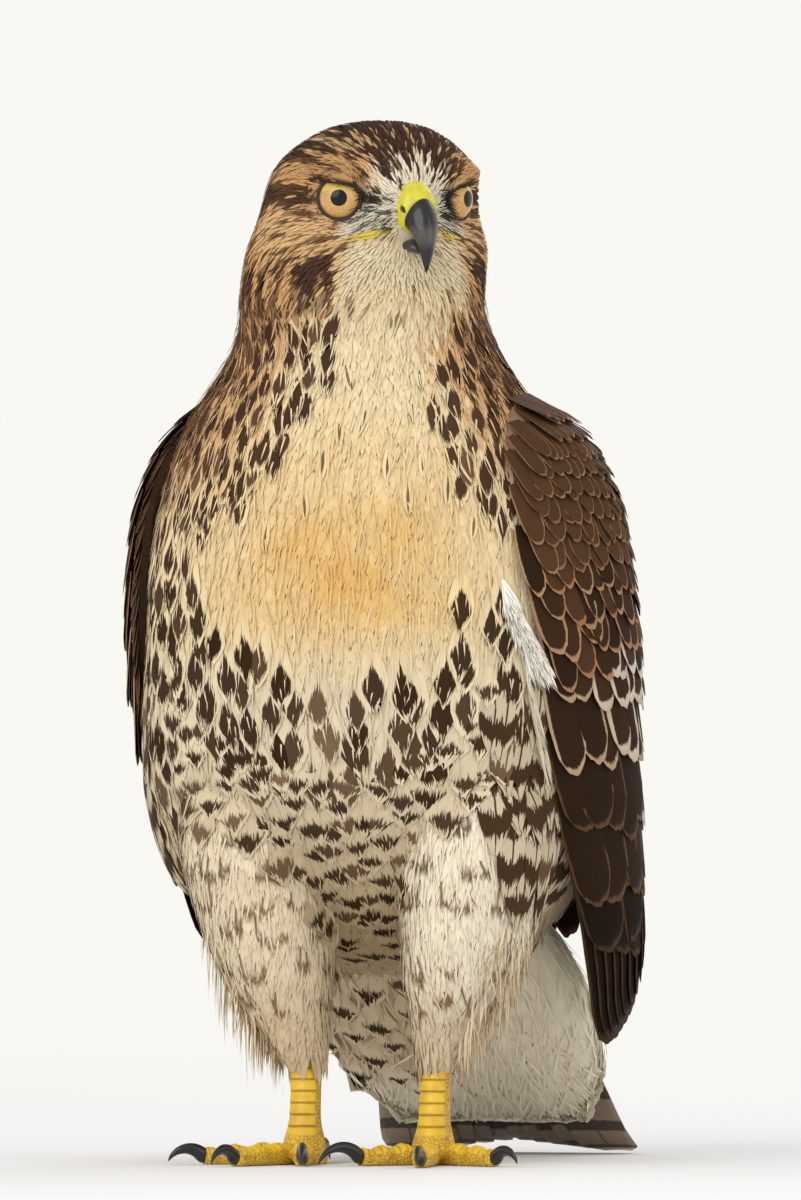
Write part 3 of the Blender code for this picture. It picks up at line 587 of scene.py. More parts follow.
class Value:
    """A number or a colour in a material. Sums of values add the nodes that work them out."""

    def __init__(self, tree, socket):
        self.tree = tree
        self.socket = socket

    def maths(self, operation, *terms):
        node = self.tree.nodes.new("ShaderNodeMath")
        node.operation = operation
        for socket, term in zip(node.inputs, (*terms, 0.0, 0.0)):
            put(self.tree, term, socket)
        return Value(self.tree, node.outputs[0])

    def __add__(self, other):
        return self.maths("ADD", self, other)

    def __sub__(self, other):
        return self.maths("SUBTRACT", self, other)

    def __rsub__(self, other):
        return self.maths("SUBTRACT", other, self)

    def __mul__(self, other):
        return self.maths("MULTIPLY", self, other)

    def __truediv__(self, other):
        return self.maths("DIVIDE", self, other)

    def __pow__(self, power):
        return self.maths("POWER", self, power)

    def __abs__(self):
        return self.maths("ABSOLUTE", self)

    def sine(self):
        return self.maths("SINE", self)

    def root(self):
        return self.maths("SQRT", self)

    def larger(self, other):
        return self.maths("MAXIMUM", self, other)

    def clamped(self):
        self.socket.node.use_clamp = True
        return self

    def step(self, low, high):
        """0 below the low value, 1 above the high one, and smooth between them."""
        node = self.tree.nodes.new("ShaderNodeMapRange")
        node.interpolation_type = "SMOOTHSTEP"
        for socket, term in zip(node.inputs, (self, low, high)):
            put(self.tree, term, socket)
        return Value(self.tree, node.outputs[0])


def put(tree, value, socket):
    """Link a value to a socket, or set a plain number or colour on it."""
    if isinstance(value, Value):
        tree.links.new(value.socket, socket)
    elif socket.type == "RGBA" and len(value) == 3:
        socket.default_value = (*value, 1)
    else:
        socket.default_value = value


class Shade:
    """Short ways to add the nodes of one material."""

    def __init__(self, name, roughness):
        self.material = bpy.data.materials.new(name)
        self.material.use_nodes = True
        self.tree = self.material.node_tree
        self.shader = self.tree.nodes["Principled BSDF"]
        self.set({"Roughness": roughness})

    def set(self, values):
        for name, value in values.items():
            put(self.tree, value, self.shader.inputs[name])

    def add(self, kind, inputs, output=0, **settings):
        """The output of a new node with the given inputs and settings."""
        node = self.tree.nodes.new("ShaderNode" + kind)
        for name, setting in settings.items():
            setattr(node, name, setting)
        for key, value in inputs.items():
            put(self.tree, value, node.inputs[key])
        return Value(self.tree, node.outputs[output])

    def split(self, vector, kind="XYZ"):
        """The three numbers of a vector or a colour."""
        node = self.tree.nodes.new("ShaderNodeSeparate" + kind)
        put(self.tree, vector, node.inputs[0])
        return [Value(self.tree, socket) for socket in node.outputs]

    def combine(self, x, y, z):
        return self.add("CombineXYZ", {0: x, 1: y, 2: z})

    def attribute(self, name, output="Fac"):
        return self.add("Attribute", {}, output, attribute_name=name)

    def mix(self, share, first, second, kind="MIX"):
        return self.add("Mix", {0: share, 6: first, 7: second}, 2, data_type="RGBA", blend_type=kind)

    def toned(self, colour, tone):
        """A colour made lighter or darker by a number."""
        return self.mix(1.0, colour, self.combine(tone, tone, tone), "MULTIPLY")

    def place(self):
        return self.add("TexCoord", {}, "Object")

    def noise(self, vector, scale, detail=3.0, roughness=0.55):
        inputs = {"Vector": vector, "Scale": scale, "Detail": detail, "Roughness": roughness}
        return self.add("TexNoise", inputs)

    def bump(self, height, strength, distance):
        inputs = {"Strength": strength, "Distance": distance, "Height": height}
        self.set({"Normal": self.add("Bump", inputs)})


BARBS = 46.0                        # barb lines along a stiff vane
HAIRS = 11.0                        # loose strands across half of a soft one
TIP_CURVE = 0.22                    # how far the sides of a vane's tip curve back, as a share of its length
LEAF = (0.26, 0.97)                 # where a leaf-shaped spot starts and ends along a vane
BAR_PITCH = 15.7                    # radians of the bars' wave along a vane
VANE_SEED = 37.0


def drawn_mark(length, off, slim, arrow, soft):
    """A spot: a leaf that is pointed at both ends, or an arrowhead that points to the vane's tip."""
    start, end = LEAF
    place = ((length - start) / (end - start)).clamped() ** 1.3
    wide = (place * math.pi).sine() * (0.92 - slim * 0.70)
    leaf = 1.0 - (off - wide).step(-0.03 - soft, 0.05 + soft)
    top = (length + off * -0.12 - slim * 0.26).step(0.47 - soft, 0.52 + soft)
    low = (length + off * 0.22).step(0.87, 0.91)
    head = top * (1.0 - low.larger(off.step(0.80, 0.88)))
    return leaf + arrow * (head - leaf)


def plumage_material(name, roughness, sheen, hairy=False):
    """A feather's colours from its own marks: a spot, bars, or a dark middle with a pale rim."""
    shade = Shade(name, roughness)
    across, run, chance = shade.split(shade.attribute("vane", "Vector"))
    spot, barred, slim = shade.split(shade.attribute("pattern", "Color"), "Color")
    inside = shade.attribute("pattern", "Alpha")

    # Barbs leave the shaft at a slant, so each edge of a mark is finely combed
    off = abs(across)
    seed = chance * VANE_SEED
    if hairy:
        strands = shade.combine(across * HAIRS, seed, run * 2.5)
    else:
        strands = shade.combine((run - off * 0.30) * BARBS, seed, 0.0)
    barb = shade.noise(strands, 1.0, 2.0)
    comb = (barb - 0.5) * (0.55 if hairy else 0.20)
    length = run - off**2.0 * run**3.0 * TIP_CURVE + comb
    ragged = off + comb * (0.35 if hairy else 0.8)

    mark = drawn_mark(length, ragged, slim, shade.attribute("arrow"), 0.03 if hairy else 0.0) * spot
    drawn = length - comb * (0.5 if hairy else 0.0)
    wave = ((drawn + off * 0.12) * BAR_PITCH + 1.9).sine()
    bars = wave.step(-0.12, 0.10) * run.step(0.12, 0.16)
    bars = bars.larger(1.0 - off.step(0.03, 0.08)) * barred
    tip = 1.0 - (1.0 - (run + comb * 0.3)) * 3.0
    rim = ragged.larger(tip) - inside
    middle = (1.0 - rim.step(-0.05, 0.05)) * inside.step(0.02, 0.10)
    mask = mark.larger(bars).larger(middle).clamped()

    colour = shade.mix(mask, shade.attribute("ground", "Color"), shade.attribute("mark", "Color"))
    blotch = shade.noise(shade.place(), 160.0, 2.0)
    colour = shade.toned(colour, chance * 0.12 + blotch * 0.16 + barb * 0.16 + 0.78)
    shade.set({"Base Color": colour, "Specular IOR Level": 0.05})
    shade.set({"Sheen Weight": sheen, "Sheen Roughness": 0.6})
    shade.bump(barb, 0.4, 0.0002)
    return shade.material


def tail_material():
    """Grey-brown tail feathers with many narrow dark bars and a pale tip."""
    shade = Shade("tail_vane", 0.62)
    across, run, chance = shade.split(shade.attribute("vane", "Vector"))
    off = abs(across)
    barb = shade.noise(shade.combine((run - off * 0.05) * 150.0, chance * VANE_SEED, 0.0), 1.0, 2.0)
    wave = (run * 66.0 + chance * 1.4 + barb * 0.9).sine()
    bars = wave.step(0.35, 0.65) * run.step(0.10, 0.25)
    shaft = 1.0 - off.step(0.03, 0.07)
    colour = shade.mix(bars, shade.attribute("ground", "Color"), shade.attribute("mark", "Color"))
    colour = shade.mix(shaft * 0.7, colour, srgb(70, 54, 44))
    colour = shade.mix(run.step(0.965, 0.985), colour, srgb(205, 190, 165))
    shade.set({"Base Color": shade.toned(colour, barb * 0.35 + 0.80), "Sheen Weight": 0.1})
    shade.bump(barb, 0.5, 0.0002)
    return shade.material


def skin_material():
    """The down under the feathers, in the colour of the feathers over it."""
    shade = Shade("down_skin", 0.95)
    fluff = shade.noise(shade.place(), 900.0, 4.0)
    colour = shade.toned(shade.attribute("ground", "Color"), fluff * 0.3 + 0.80)
    shade.set({"Base Color": colour, "Specular IOR Level": 0.1})
    shade.bump(fluff, 0.6, 0.0006)
    return shade.material


def scale_material():
    """Yellow scaled skin: bright plates, darker in the grooves, with fine scales at the sides."""
    shade = Shade("leg_scales", 0.42)
    place = shade.place()
    edge = shade.add("TexVoronoi", {"Vector": place, "Scale": 620.0}, feature="DISTANCE_TO_EDGE")
    small = (1.0 - edge.step(0.02, 0.16)) * (1.0 - shade.attribute("plate"))
    dark = small.larger(shade.attribute("groove")).clamped()
    patch = shade.noise(place, 130.0, 3.0)
    bright = shade.mix(patch.step(0.35, 0.7), srgb(230, 192, 40), srgb(214, 170, 44))
    shade.set({"Base Color": shade.mix(dark * 0.72, bright, srgb(150, 98, 36))})
    shade.bump(1.0 - dark + patch * 0.3, 0.55, 0.0004)
    radius = (0.004, 0.002, 0.001)
    shade.set({"Subsurface Weight": 0.08, "Subsurface Radius": radius, "Subsurface Scale": 0.4})
    return shade.material


def soft_yellow_material(name, colour, dark, roughness):
    """Bare soft yellow skin, such as the cere and the corners of the mouth, with painted shade in the
    nostrils.
    """
    shade = Shade(name, roughness)
    place = shade.place()
    tinted = shade.mix(shade.noise(place, 260.0, 4.0).step(0.3, 0.75), colour, dark)
    # Painted shade: the nostrils are coloured near black for the dark inside of their hollows
    shade.set({"Base Color": shade.mix(shade.attribute("pit"), tinted, srgb(28, 22, 14))})
    shade.bump(shade.noise(place, 1500.0, 3.0), 0.35, 0.0002)
    shade.set({"Coat Weight": 0.25, "Coat Roughness": 0.25})
    return shade.material


def horn_material(name, dark, pale, roughness):
    """Polished horn that runs from pale to dark by the tone of each place."""
    shade = Shade(name, roughness)
    grain = shade.noise(shade.place(), 420.0, 4.0)
    share = (shade.attribute("tone") + grain * 0.25).clamped()
    shade.set({"Base Color": shade.mix(share, pale, dark), "Specular IOR Level": 0.3})
    shade.bump(grain, 0.25, 0.0002)
    shade.set({"Coat Weight": 0.35, "Coat Roughness": 0.14})
    return shade.material


def eye_material():
    """A pale amber iris round a black pupil, under a clear wet front."""
    shade = Shade("eye_iris", 0.22)
    across, up, _ = shade.split(shade.attribute("iris", "Vector"))
    out = (across**2.0 + up**2.0).root()
    fibres = shade.noise(shade.combine(across / out, up / out, out * 0.9), 9.0, 5.0, 0.65)
    amber = shade.mix(fibres.step(0.3, 0.72), srgb(216, 172, 108), srgb(184, 136, 80))
    amber = shade.mix(up.step(0.1, 0.6), amber, srgb(204, 184, 96))
    amber = shade.mix(out.step(0.70, 0.80) * 0.8, amber, srgb(120, 84, 40))
    pupil = 1.0 - out.step(0.318, 0.345)
    colour = shade.mix(pupil.larger(out.step(0.780, 0.805)), amber, srgb(10, 9, 9))
    shade.set({"Base Color": colour, "Specular IOR Level": 0.08})
    shade.set({"Coat Weight": 0.8, "Coat IOR": 1.36, "Coat Roughness": 0.02})
    return shade.material


def plain_material(name, colour, roughness, bump_scale):
    shade = Shade(name, roughness)
    grain = shade.noise(shade.place(), bump_scale, 4.0)
    shade.set({"Base Color": shade.toned(colour, grain * 0.3 + 0.85)})
    shade.bump(grain, 0.3, 0.0003)
    return shade.material


# Colours
CREAM = srgb(229, 212, 174)
WARM = srgb(219, 178, 108)
BELLY = srgb(219, 203, 172)
VENT = srgb(182, 162, 130)
UNDERTAIL_WHITE = srgb(234, 224, 200)
SPOT = srgb(50, 31, 16)
GREY_SPOT = srgb(118, 94, 70)
STREAK = srgb(62, 42, 31)
PALE_STREAK = srgb(106, 76, 54)
FLANK_BAR = srgb(60, 39, 22)
FLANK_GROUND = srgb(196, 181, 154)
WING_DARK = srgb(64, 43, 26)
WING_DEEP = srgb(42, 28, 17)
RUFOUS = srgb(150, 96, 60)
PALE_PATCH = srgb(215, 214, 204)
HEAD_BROWN = srgb(80, 54, 38)
HEAD_BUFF = srgb(200, 157, 105)
CROWN_BROWN = srgb(66, 47, 37)
SUPERCILIUM = srgb(188, 145, 98)
FACE_WHITE = srgb(228, 217, 194)
TAIL_BROWN = srgb(142, 122, 102)
TAIL_BAR = srgb(62, 48, 40)
LEG_MARK = srgb(126, 88, 54)
LORE_DARK = srgb(96, 84, 70)
THROAT_WHITE = srgb(218, 203, 168)
TUFT_WHITE = srgb(246, 241, 228)
TUFT_SHADE = srgb(216, 206, 182)
PLAIN = np.zeros(4)                 # the pattern of a feather without marks


# The skin

SKIN_VOXEL = 0.0016
COAT_DEPTH = {"head": 0.0018, "trunk": 0.0024, "thigh": 0.0020, "undertail": 0.0026}
ON_TRUNK, ON_THIGH, ON_UNDERTAIL, ON_BROW = 0, 1, 2, 3
ROOT_LIFT = -0.0006                 # feathers start a little inside the skin
MOST_FADE = 0.22                    # a marked feather fades from its root's colour unless they differ by more
LEGGING_FOOT = 0.056                # below this height the leggings' feathers hang free
LEGGING_MIDDLE = (0.042, 0.010)     # to the side and back
FLECK_ROW = 0.0150
FLECKS_ROUND = 10
FRONT_TURN = 44                     # degrees of the breast that the spots of the belly cover to each side


def trunk_rings(columns):
    angles = turns(columns)
    rings = [torso_surface(angles, height) for height in np.linspace(0.0835, NECK_BASE, 90)]
    low = torso_surface(angles, NECK_BASE)
    high = head_surface(angles, HEAD_BASE)
    rings.extend(low + (high - low) * share for share in np.linspace(0, 1, 14)[1:-1])
    rings.extend(head_surface(angles, height) for height in np.linspace(HEAD_BASE, 0.4591, 60))
    return np.array(rings)


def undertail_rings(columns):
    angles = turns(columns)
    rings = []
    for run in np.linspace(0, 0.172, 40):
        wide, thick = UNDERTAIL(run)
        depth = thick / 2 * (1 - np.cos(angles)) ** 0.9 * 2**0.1
        ring = tail_place(wide * np.sin(angles), run, TAIL_UNDERSIDE - GAP - depth)
        ring[:, 2] = np.maximum(ring[:, 2], 0.0015)
        rings.append(ring)
    return np.array(rings)


def brow_form(side):
    """The shelf over the eye: its lower edge hangs over the ball and its top runs into the head."""
    reach, top_out, top_up = BROW_REACH
    rings = []
    for angle in np.radians(np.linspace(-78, 78, 60)):
        edge = np.interp(math.degrees(angle), *np.array(BROW_EDGE).T)
        ball = math.sqrt(EYE_RADIUS**2 - edge**2)
        lip = ball + reach
        # Outward and up, from the ball round the lip to the top and back
        section = np.array((
            (ball + 0.0003, edge + 0.0009),
            (ball + 0.0010, edge + 0.0001),
            (lip - 0.0004, edge + 0.0002),
            (lip, edge + 0.0014),
            (lip - 0.0003, edge + 0.0034),
            (lip * 0.6 + top_out * 0.4, edge * 0.6 + top_up * 0.4 + 0.0022),
            (top_out, top_up),
            (top_out - 0.004, top_up - 0.002),
            (top_out - 0.004, edge + 0.004),
        ))
        heading = eye_axis(side) * math.cos(angle) + eye_outward(side) * math.sin(angle)
        rings.append(eye_centre(side) + heading * section[:, :1] + UP * section[:, 1:])
    return loft(rings)


def skin_parts():
    trunk = loft(trunk_rings(120), body_place(0, 0.104, 0.079), head_place(0, 0.001, CROWN))
    heights = np.linspace(0.178, 0.047, 50)
    thighs = [loft([thigh_surface(side, turns(60), height) for height in heights]) for _, side in SIDES]
    return [trunk, *thighs, loft(undertail_rings(80))]


def skin_labels(points, parts):
    """Which form each point of the skin belongs to."""
    tree = KDTree(sum(len(part[0]) for part in parts))
    labels = []
    for label, (part_points, _) in zip((ON_TRUNK, ON_THIGH, ON_THIGH, ON_UNDERTAIL), parts):
        for point in part_points:
            tree.insert(point, len(labels))
            labels.append(label)
    tree.balance()
    return np.array([labels[tree.find(point)[1]] for point in points])


def open_for_eyes(points):
    """Lay the skin inside each eyeball where the eye shows, and slope it up and away round the lid."""
    for _, side in SIDES:
        along, outward, up = eye_parts(points, side)
        wide = np.hypot(outward, up)
        below = (up < brow_height(along, outward) + 0.0010) & (along > 0)
        offset = points - eye_centre(side)
        far = np.linalg.norm(offset, axis=1)
        inner = below & (wide < LID_RADIUS) & (far < 0.022)
        points = np.where(inner[:, None], eye_centre(side) + unit(offset) * (EYE_RADIUS - 0.0016), points)
        lid = math.sqrt(EYE_RADIUS**2 - LID_RADIUS**2)
        highest = lid + 0.0002 + (wide - LID_RADIUS) * 0.9
        lower = np.where(below & ~inner & (wide < 0.019), np.maximum(0, along - highest), 0)
        points = points - eye_axis(side) * lower[:, None]
    return points


def from_bill(points):
    return np.linalg.norm(points - head_place(0, 0.040, 0.4180), axis=1)


def depth_at(points, labels):
    head = smooth(0.365, 0.395, points[:, 2])
    trunk = COAT_DEPTH["trunk"] * (1 - head) + COAT_DEPTH["head"] * head
    trunk = trunk * smooth(0.006, 0.030, from_bill(points))
    depth = np.where(labels == ON_THIGH, COAT_DEPTH["thigh"], trunk)
    return np.where(labels == ON_UNDERTAIL, COAT_DEPTH["undertail"], depth)


def make_skin():
    parts = skin_parts()
    skin = remeshed("body_skin", parts, SKIN_VOXEL, 4)
    corners = triangles_of(skin.data)
    points = points_of(skin.data)
    labels = skin_labels(points, parts)
    points = open_for_eyes(points - normals_of(skin.data) * depth_at(points, labels)[:, None])
    points[:, 2] = np.maximum(points[:, 2], 0.0018)
    brows = joined([brow_form(1), brow_form(-1)])
    mesh = mesh_of("body_skin_with_brows", *joined([(points, corners), brows]))
    outward_faces(mesh)
    mesh.shade_smooth()
    skin.data = mesh
    return skin, np.concatenate([labels, np.full(len(brows[0]), ON_BROW)])


# The lie and the look of the body's feathers


def lie_direction(points, normals, labels):
    """Which way feathers lie: away from the bill and round the eyes, then down, and along the tail."""
    bill = head_place(0, 0.036, 0.4180)
    away = unit(points - bill)
    far = np.linalg.norm(points - bill, axis=1)
    share = smooth(0.372, 0.392, points[:, 2]) * (1 - 0.75 * smooth(0.030, 0.085, far))
    flow = away * share[:, None] - UP * (1 - share)[:, None]
    for _, side in SIDES:
        along, outward, up = eye_parts(points, side)
        wide = np.hypot(outward, up)
        from_eye = eye_outward(side) * outward[:, None] + UP * up[:, None]
        from_eye = from_eye / np.maximum(wide, 1e-6)[:, None]
        inward = np.minimum((flow * from_eye).sum(1), 0) * (along > -0.002)
        near = np.exp(-((np.maximum(wide - 0.011, 0) / 0.008) ** 2))
        flow = flow - from_eye * (inward * near)[:, None]
        over = near * (up > 0.004) * (along > -0.002)
        flow = flow + eye_outward(side) * (0.6 * over)[:, None]
    back = body_place(0, 1, 0) - body_place(0, 0, 0)
    low = 1 - smooth(0.10, 0.17, points[:, 2])
    rear = smooth(100, 150, np.abs(hull_turn(points)))
    trunk_back = (0.9 * low + 0.25 * rear) * (labels == ON_TRUNK) + 0.08 * (labels == ON_THIGH)
    flow = flow + back * trunk_back[:, None]
    tail = unit(back * math.cos(TAIL_SLOPE) - UP * math.sin(TAIL_SLOPE))
    flow = np.where((labels == ON_UNDERTAIL)[:, None], tail, flow)
    return unit(flow - normals * (flow * normals).sum(1)[:, None])


def hashed(column, row, shift):
    """A number from 0 to 1 that belongs to a cell."""
    value = np.sin(column * 127.1 + row * 311.7 + shift) * 43758.5453
    return value - np.floor(value)


def cell_noise(first, second, seed):
    """Smooth noise from 0 to 1 over two coordinates that count cells."""
    column, row = np.floor(first), np.floor(second)
    x = smooth(0, 1, first - column)
    y = smooth(0, 1, second - row)
    a, b, c, d = (hashed(column + i, row + j, seed * 74.7) for j in (0, 1) for i in (0, 1))
    low = a * (1 - x) + b * x
    high = c * (1 - x) + d * x
    return low * (1 - y) + high * y


def head_streaks(points):
    """Streaks that run back from the bill over the head and then down the neck."""
    left, forward, height = head_parts(points)
    up = height - HEAD_MIDDLE
    round_bill = np.arctan2(left, up)
    past_bill = np.arctan2(np.hypot(left, up), forward)
    face = 0.5 * cell_noise(round_bill * 17, past_bill * 2.6, 1)
    face = face + 0.5 * cell_noise(round_bill * 33, past_bill * 5, 2)
    turn = np.radians(head_turn(points))
    neck = 0.6 * cell_noise(turn * 13, height * 60, 3) + 0.4 * cell_noise(turn * 23, height * 90, 4)
    return neck + (face - neck) * smooth(0.382, 0.402, height)


def head_shades(points):
    """The dark colour, the pale colour and the share of dark at places on the head."""
    turn = np.abs(head_turn(points))
    height = points[:, 2]
    dark, pale, share = HEAD_BROWN, HEAD_BUFF, 0.56

    def zone(weight, wanted, dark_colour=None, pale_colour=None):
        nonlocal dark, pale, share
        share = share + (wanted - share) * weight
        dark = dark if dark_colour is None else blend(dark, dark_colour, weight)
        pale = pale if pale_colour is None else blend(pale, pale_colour, weight)

    zone(smooth(95, 125, turn), 0.68, None, srgb(176, 134, 92))
    cheek = smooth(38, 50, turn) * (1 - smooth(95, 115, turn)) * hump(0.4090, 0.0105, height)
    zone(cheek, 0.38, srgb(116, 84, 60), srgb(208, 170, 122))
    zone(hump(62, 17, turn) * (1 - smooth(0.394, 0.403, height)), 0.62, srgb(72, 52, 42))
    line = hump(0.4250, 0.0052, height) * smooth(62, 74, turn) * (1 - smooth(118, 135, turn))
    zone(line, 0.95, srgb(78, 55, 43))
    crown = smooth(0.4395, 0.4450, height - 0.0022 * np.cos(np.radians(turn)))
    zone(crown, 0.70, CROWN_BROWN, srgb(190, 154, 114))
    brow = hump(0.4352, 0.0046, height) * smooth(40, 58, turn) * (1 - smooth(88, 112, turn))
    zone(brow, 0.22, srgb(124, 88, 60), SUPERCILIUM)
    forehead = (1 - smooth(22, 42, turn)) * smooth(0.424, 0.430, height)
    forehead = forehead * (1 - smooth(0.4400, 0.4500, height))
    zone(forehead, 0.54, CROWN_BROWN, FACE_WHITE)
    zone((1 - smooth(10, 24, turn)) * hump(0.4320, 0.0040, height), 0.20, None, FACE_WHITE)
    lore = (1 - smooth(44, 54, turn)) * smooth(0.405, 0.409, height) * (1 - smooth(0.425, 0.431, height))
    zone(lore, 0.34, LORE_DARK, srgb(214, 206, 186))
    zone(hump(30, 7, turn) * hump(0.4225, 0.0060, height), 0.60, LORE_DARK)
    # Painted shadow: a dark band along the lower edge of each brow, for the shade that the brow casts over
    # the eye
    for _, side in SIDES:
        along, outward, up = eye_parts(points, side)
        over = up - brow_height(along, outward)
        brow_shadow = (1 - smooth(0.0010, 0.0032, over)) * smooth(-0.002, 0.0002, over) * (along > 0)
        zone(brow_shadow * (np.hypot(outward, up) < 0.017), 0.96, srgb(62, 48, 40))
    throat = (1 - smooth(36, 52, turn)) * (1 - smooth(0.4030, 0.4085, height))
    zone(throat, 0.06, srgb(150, 116, 80), THROAT_WHITE)
    fringe = (1 - smooth(30, 50, turn)) * (1 - smooth(0.3800, 0.3880, height))
    zone(fringe, 0.32, srgb(104, 74, 50), srgb(222, 202, 160))
    return dark, pale, share


def head_look(points, rng):
    """Ground colour, mark colour and pattern weights of the head's feathers."""
    dark, pale, share = head_shades(points + rng.normal(0, 0.0006, points.shape))
    level = head_streaks(points) + rng.normal(0, 0.07, len(points))
    limit = 0.5 + (0.5 - share) * 0.80
    return blend(pale, dark, smooth(limit - 0.07, limit + 0.07, level)), dark, PLAIN


def neck_edge(points):
    """Degrees past the pale middle of the neck and breast to its streaked sides, less than 0 inside."""
    height = points[:, 2]
    middle = np.interp(height, (0.29, 0.345, 0.360, 0.376), (10, 9, 13, 26))
    heights = (0.24, 0.265, 0.290, 0.310, 0.330, 0.360, 0.385)
    edges = (80, 66, 46, 33, 27, 23, 24)
    return np.abs(hull_turn(points) - middle) - np.interp(height, heights, edges)


def trunk_look(points, rng):
    turn = hull_turn(points)
    height = points[:, 2]
    count = len(points)
    ground = blend(CREAM, srgb(226, 210, 172), smooth(0.325, 0.372, height))
    warm = hump(4, 30, turn) * hump(0.262, 0.040, height)
    warm = np.maximum(warm, 0.45 * hump(0, 60, turn) * hump(0.285, 0.05, height))
    mottle = cell_noise(turn / 9, height * 70, 5) * 0.5 + cell_noise(turn / 4, height * 140, 6) * 0.3
    ground = blend(ground, WARM, np.clip(warm * (0.55 + mottle), 0, 1))
    ground = blend(ground, BELLY, 1 - smooth(0.195, 0.240, height))
    ground = blend(ground, VENT, 1 - smooth(0.100, 0.190, height))
    past = neck_edge(points) + rng.normal(0, 5, count)
    ground = blend(ground, srgb(206, 168, 120), smooth(-4, 10, past) * smooth(0.24, 0.33, height))
    bib_edge = hump(0.3765, 0.0060, height) * (1 - smooth(-8, 4, past))
    ground = blend(ground, srgb(118, 84, 52), 0.8 * (rng.random(count) < 0.30 * bib_edge))
    near_head = smooth(0.345, 0.378, height)
    brown = smooth(16 - 12 * near_head, 34 - 16 * near_head, past) * smooth(0.26, 0.32, height)
    brown = np.maximum(brown, smooth(92, 104, np.abs(turn)))
    brown = (brown + 0.2 * rng.normal(0, 1, count) * (brown > 0.02) > 0.5).astype(float)
    rear = smooth(96, 112, np.abs(turn))
    ground = blend(ground, srgb(184, 142, 100), brown)
    ground = blend(ground, srgb(112, 86, 66), rear)
    mark = blend(blend(SPOT, HEAD_BROWN, brown), WING_DARK, rear)
    return ground, mark, brown[:, None] * np.array((0, 0, 0, 0.72))


def round_leg(points):
    """How far round its legging each place is, from 0 to 1."""
    left, back, _ = body_parts(points)
    side, middle = LEGGING_MIDDLE
    return np.arctan2(np.abs(left) - side, middle - back) / (2 * math.pi) + 0.5


def leg_flecks(points):
    """Short brown chevrons in staggered rows round the leggings: 1 inside, 0 outside."""
    left, _, height = body_parts(points)
    row = np.floor(height / FLECK_ROW)
    place = round_leg(points) * FLECKS_ROUND + 0.5 * (row % 2) + 3.7 * (left > 0)
    column = np.floor(place)
    chance = hashed(column, row, 5.1)
    beside = np.abs(place - column - 0.32 - 0.36 * chance)
    rise = height / FLECK_ROW - row - 0.30 - 0.40 * ((chance * 7) % 1)
    inside = (beside < 0.24 + 0.10 * chance) & (np.abs(rise - 0.7 * beside) < 0.13)
    return inside & ((chance * 13) % 1 < 0.78) & (height > 0.064)


def thigh_look(points):
    height = points[:, 2]
    ground = blend(srgb(226, 210, 180), srgb(236, 226, 204), 0.8 * (body_parts(points)[0] > 0))
    ground = blend(ground, srgb(204, 182, 146), 0.6 * (1 - smooth(0.055, 0.085, height)))
    brown = blend(LEG_MARK, srgb(84, 62, 46), smooth(0.100, 0.150, height))
    ground = blend(ground, brown, 0.9 * leg_flecks(points))
    return ground, ground, PLAIN


def vent_middle(points):
    """1 on the buff middle between the legs, 0 on the white of the undertail."""
    beside = np.abs(points[:, 0] + 0.003)
    return (1 - smooth(0.020, 0.034, beside)) * smooth(0.030, 0.044, points[:, 2])


def undertail_look(points):
    ground = blend(UNDERTAIL_WHITE, srgb(206, 186, 156), vent_middle(points))
    return ground, srgb(150, 128, 104), PLAIN


def body_look(points, labels, rng):
    """Colours and pattern of a feather rooted at each point."""
    look = trunk_look(points, rng)
    head = smooth(0.366, 0.382, points[:, 2] + rng.normal(0, 0.003, len(points)))
    zones = (
        (head, head_look(points, rng)),
        ((labels == ON_THIGH) * 1.0, thigh_look(points)),
        ((labels == ON_UNDERTAIL) * 1.0, undertail_look(points)),
    )
    for share, found in zones:
        look = [blend(start, end, share) for start, end in zip(look, found)]
    return look


def under_wing(points):
    share = wing_share(points)
    inside = (share > np.where(points[:, 2] < 0.25, 0.42, 0.16)) & (share < 0.93)
    return inside & (points[:, 2] > 0.085) & (points[:, 2] < 0.322)


def off_face(points):
    """Places that stay bare: the eyes and what the bill covers."""
    bare = np.zeros(len(points), bool)
    for _, side in SIDES:
        along, outward, up = eye_parts(points, side)
        below = up < brow_height(along, outward) + 0.0004
        bare |= below & (along > 0) & (np.hypot(outward, up) < LID_RADIUS + 0.0006)
    left, forward, height = head_parts(points)
    return bare | (np.abs(left) < 0.0068) & (forward > 0.0) & (height > 0.4050) & (height < 0.4305)


def eye_shortening(points):
    """Feathers are shorter close to the eyes and the bill."""
    short = np.ones(len(points))
    for _, side in SIDES:
        along, outward, up = eye_parts(points, side)
        near = 0.42 + 0.58 * smooth(0.0095, 0.0190, np.hypot(outward, up))
        short = np.minimum(short, np.where(along > -0.002, near, 1))
    return short * (0.60 + 0.40 * smooth(0.010, 0.022, from_bill(points)))


# Feathers


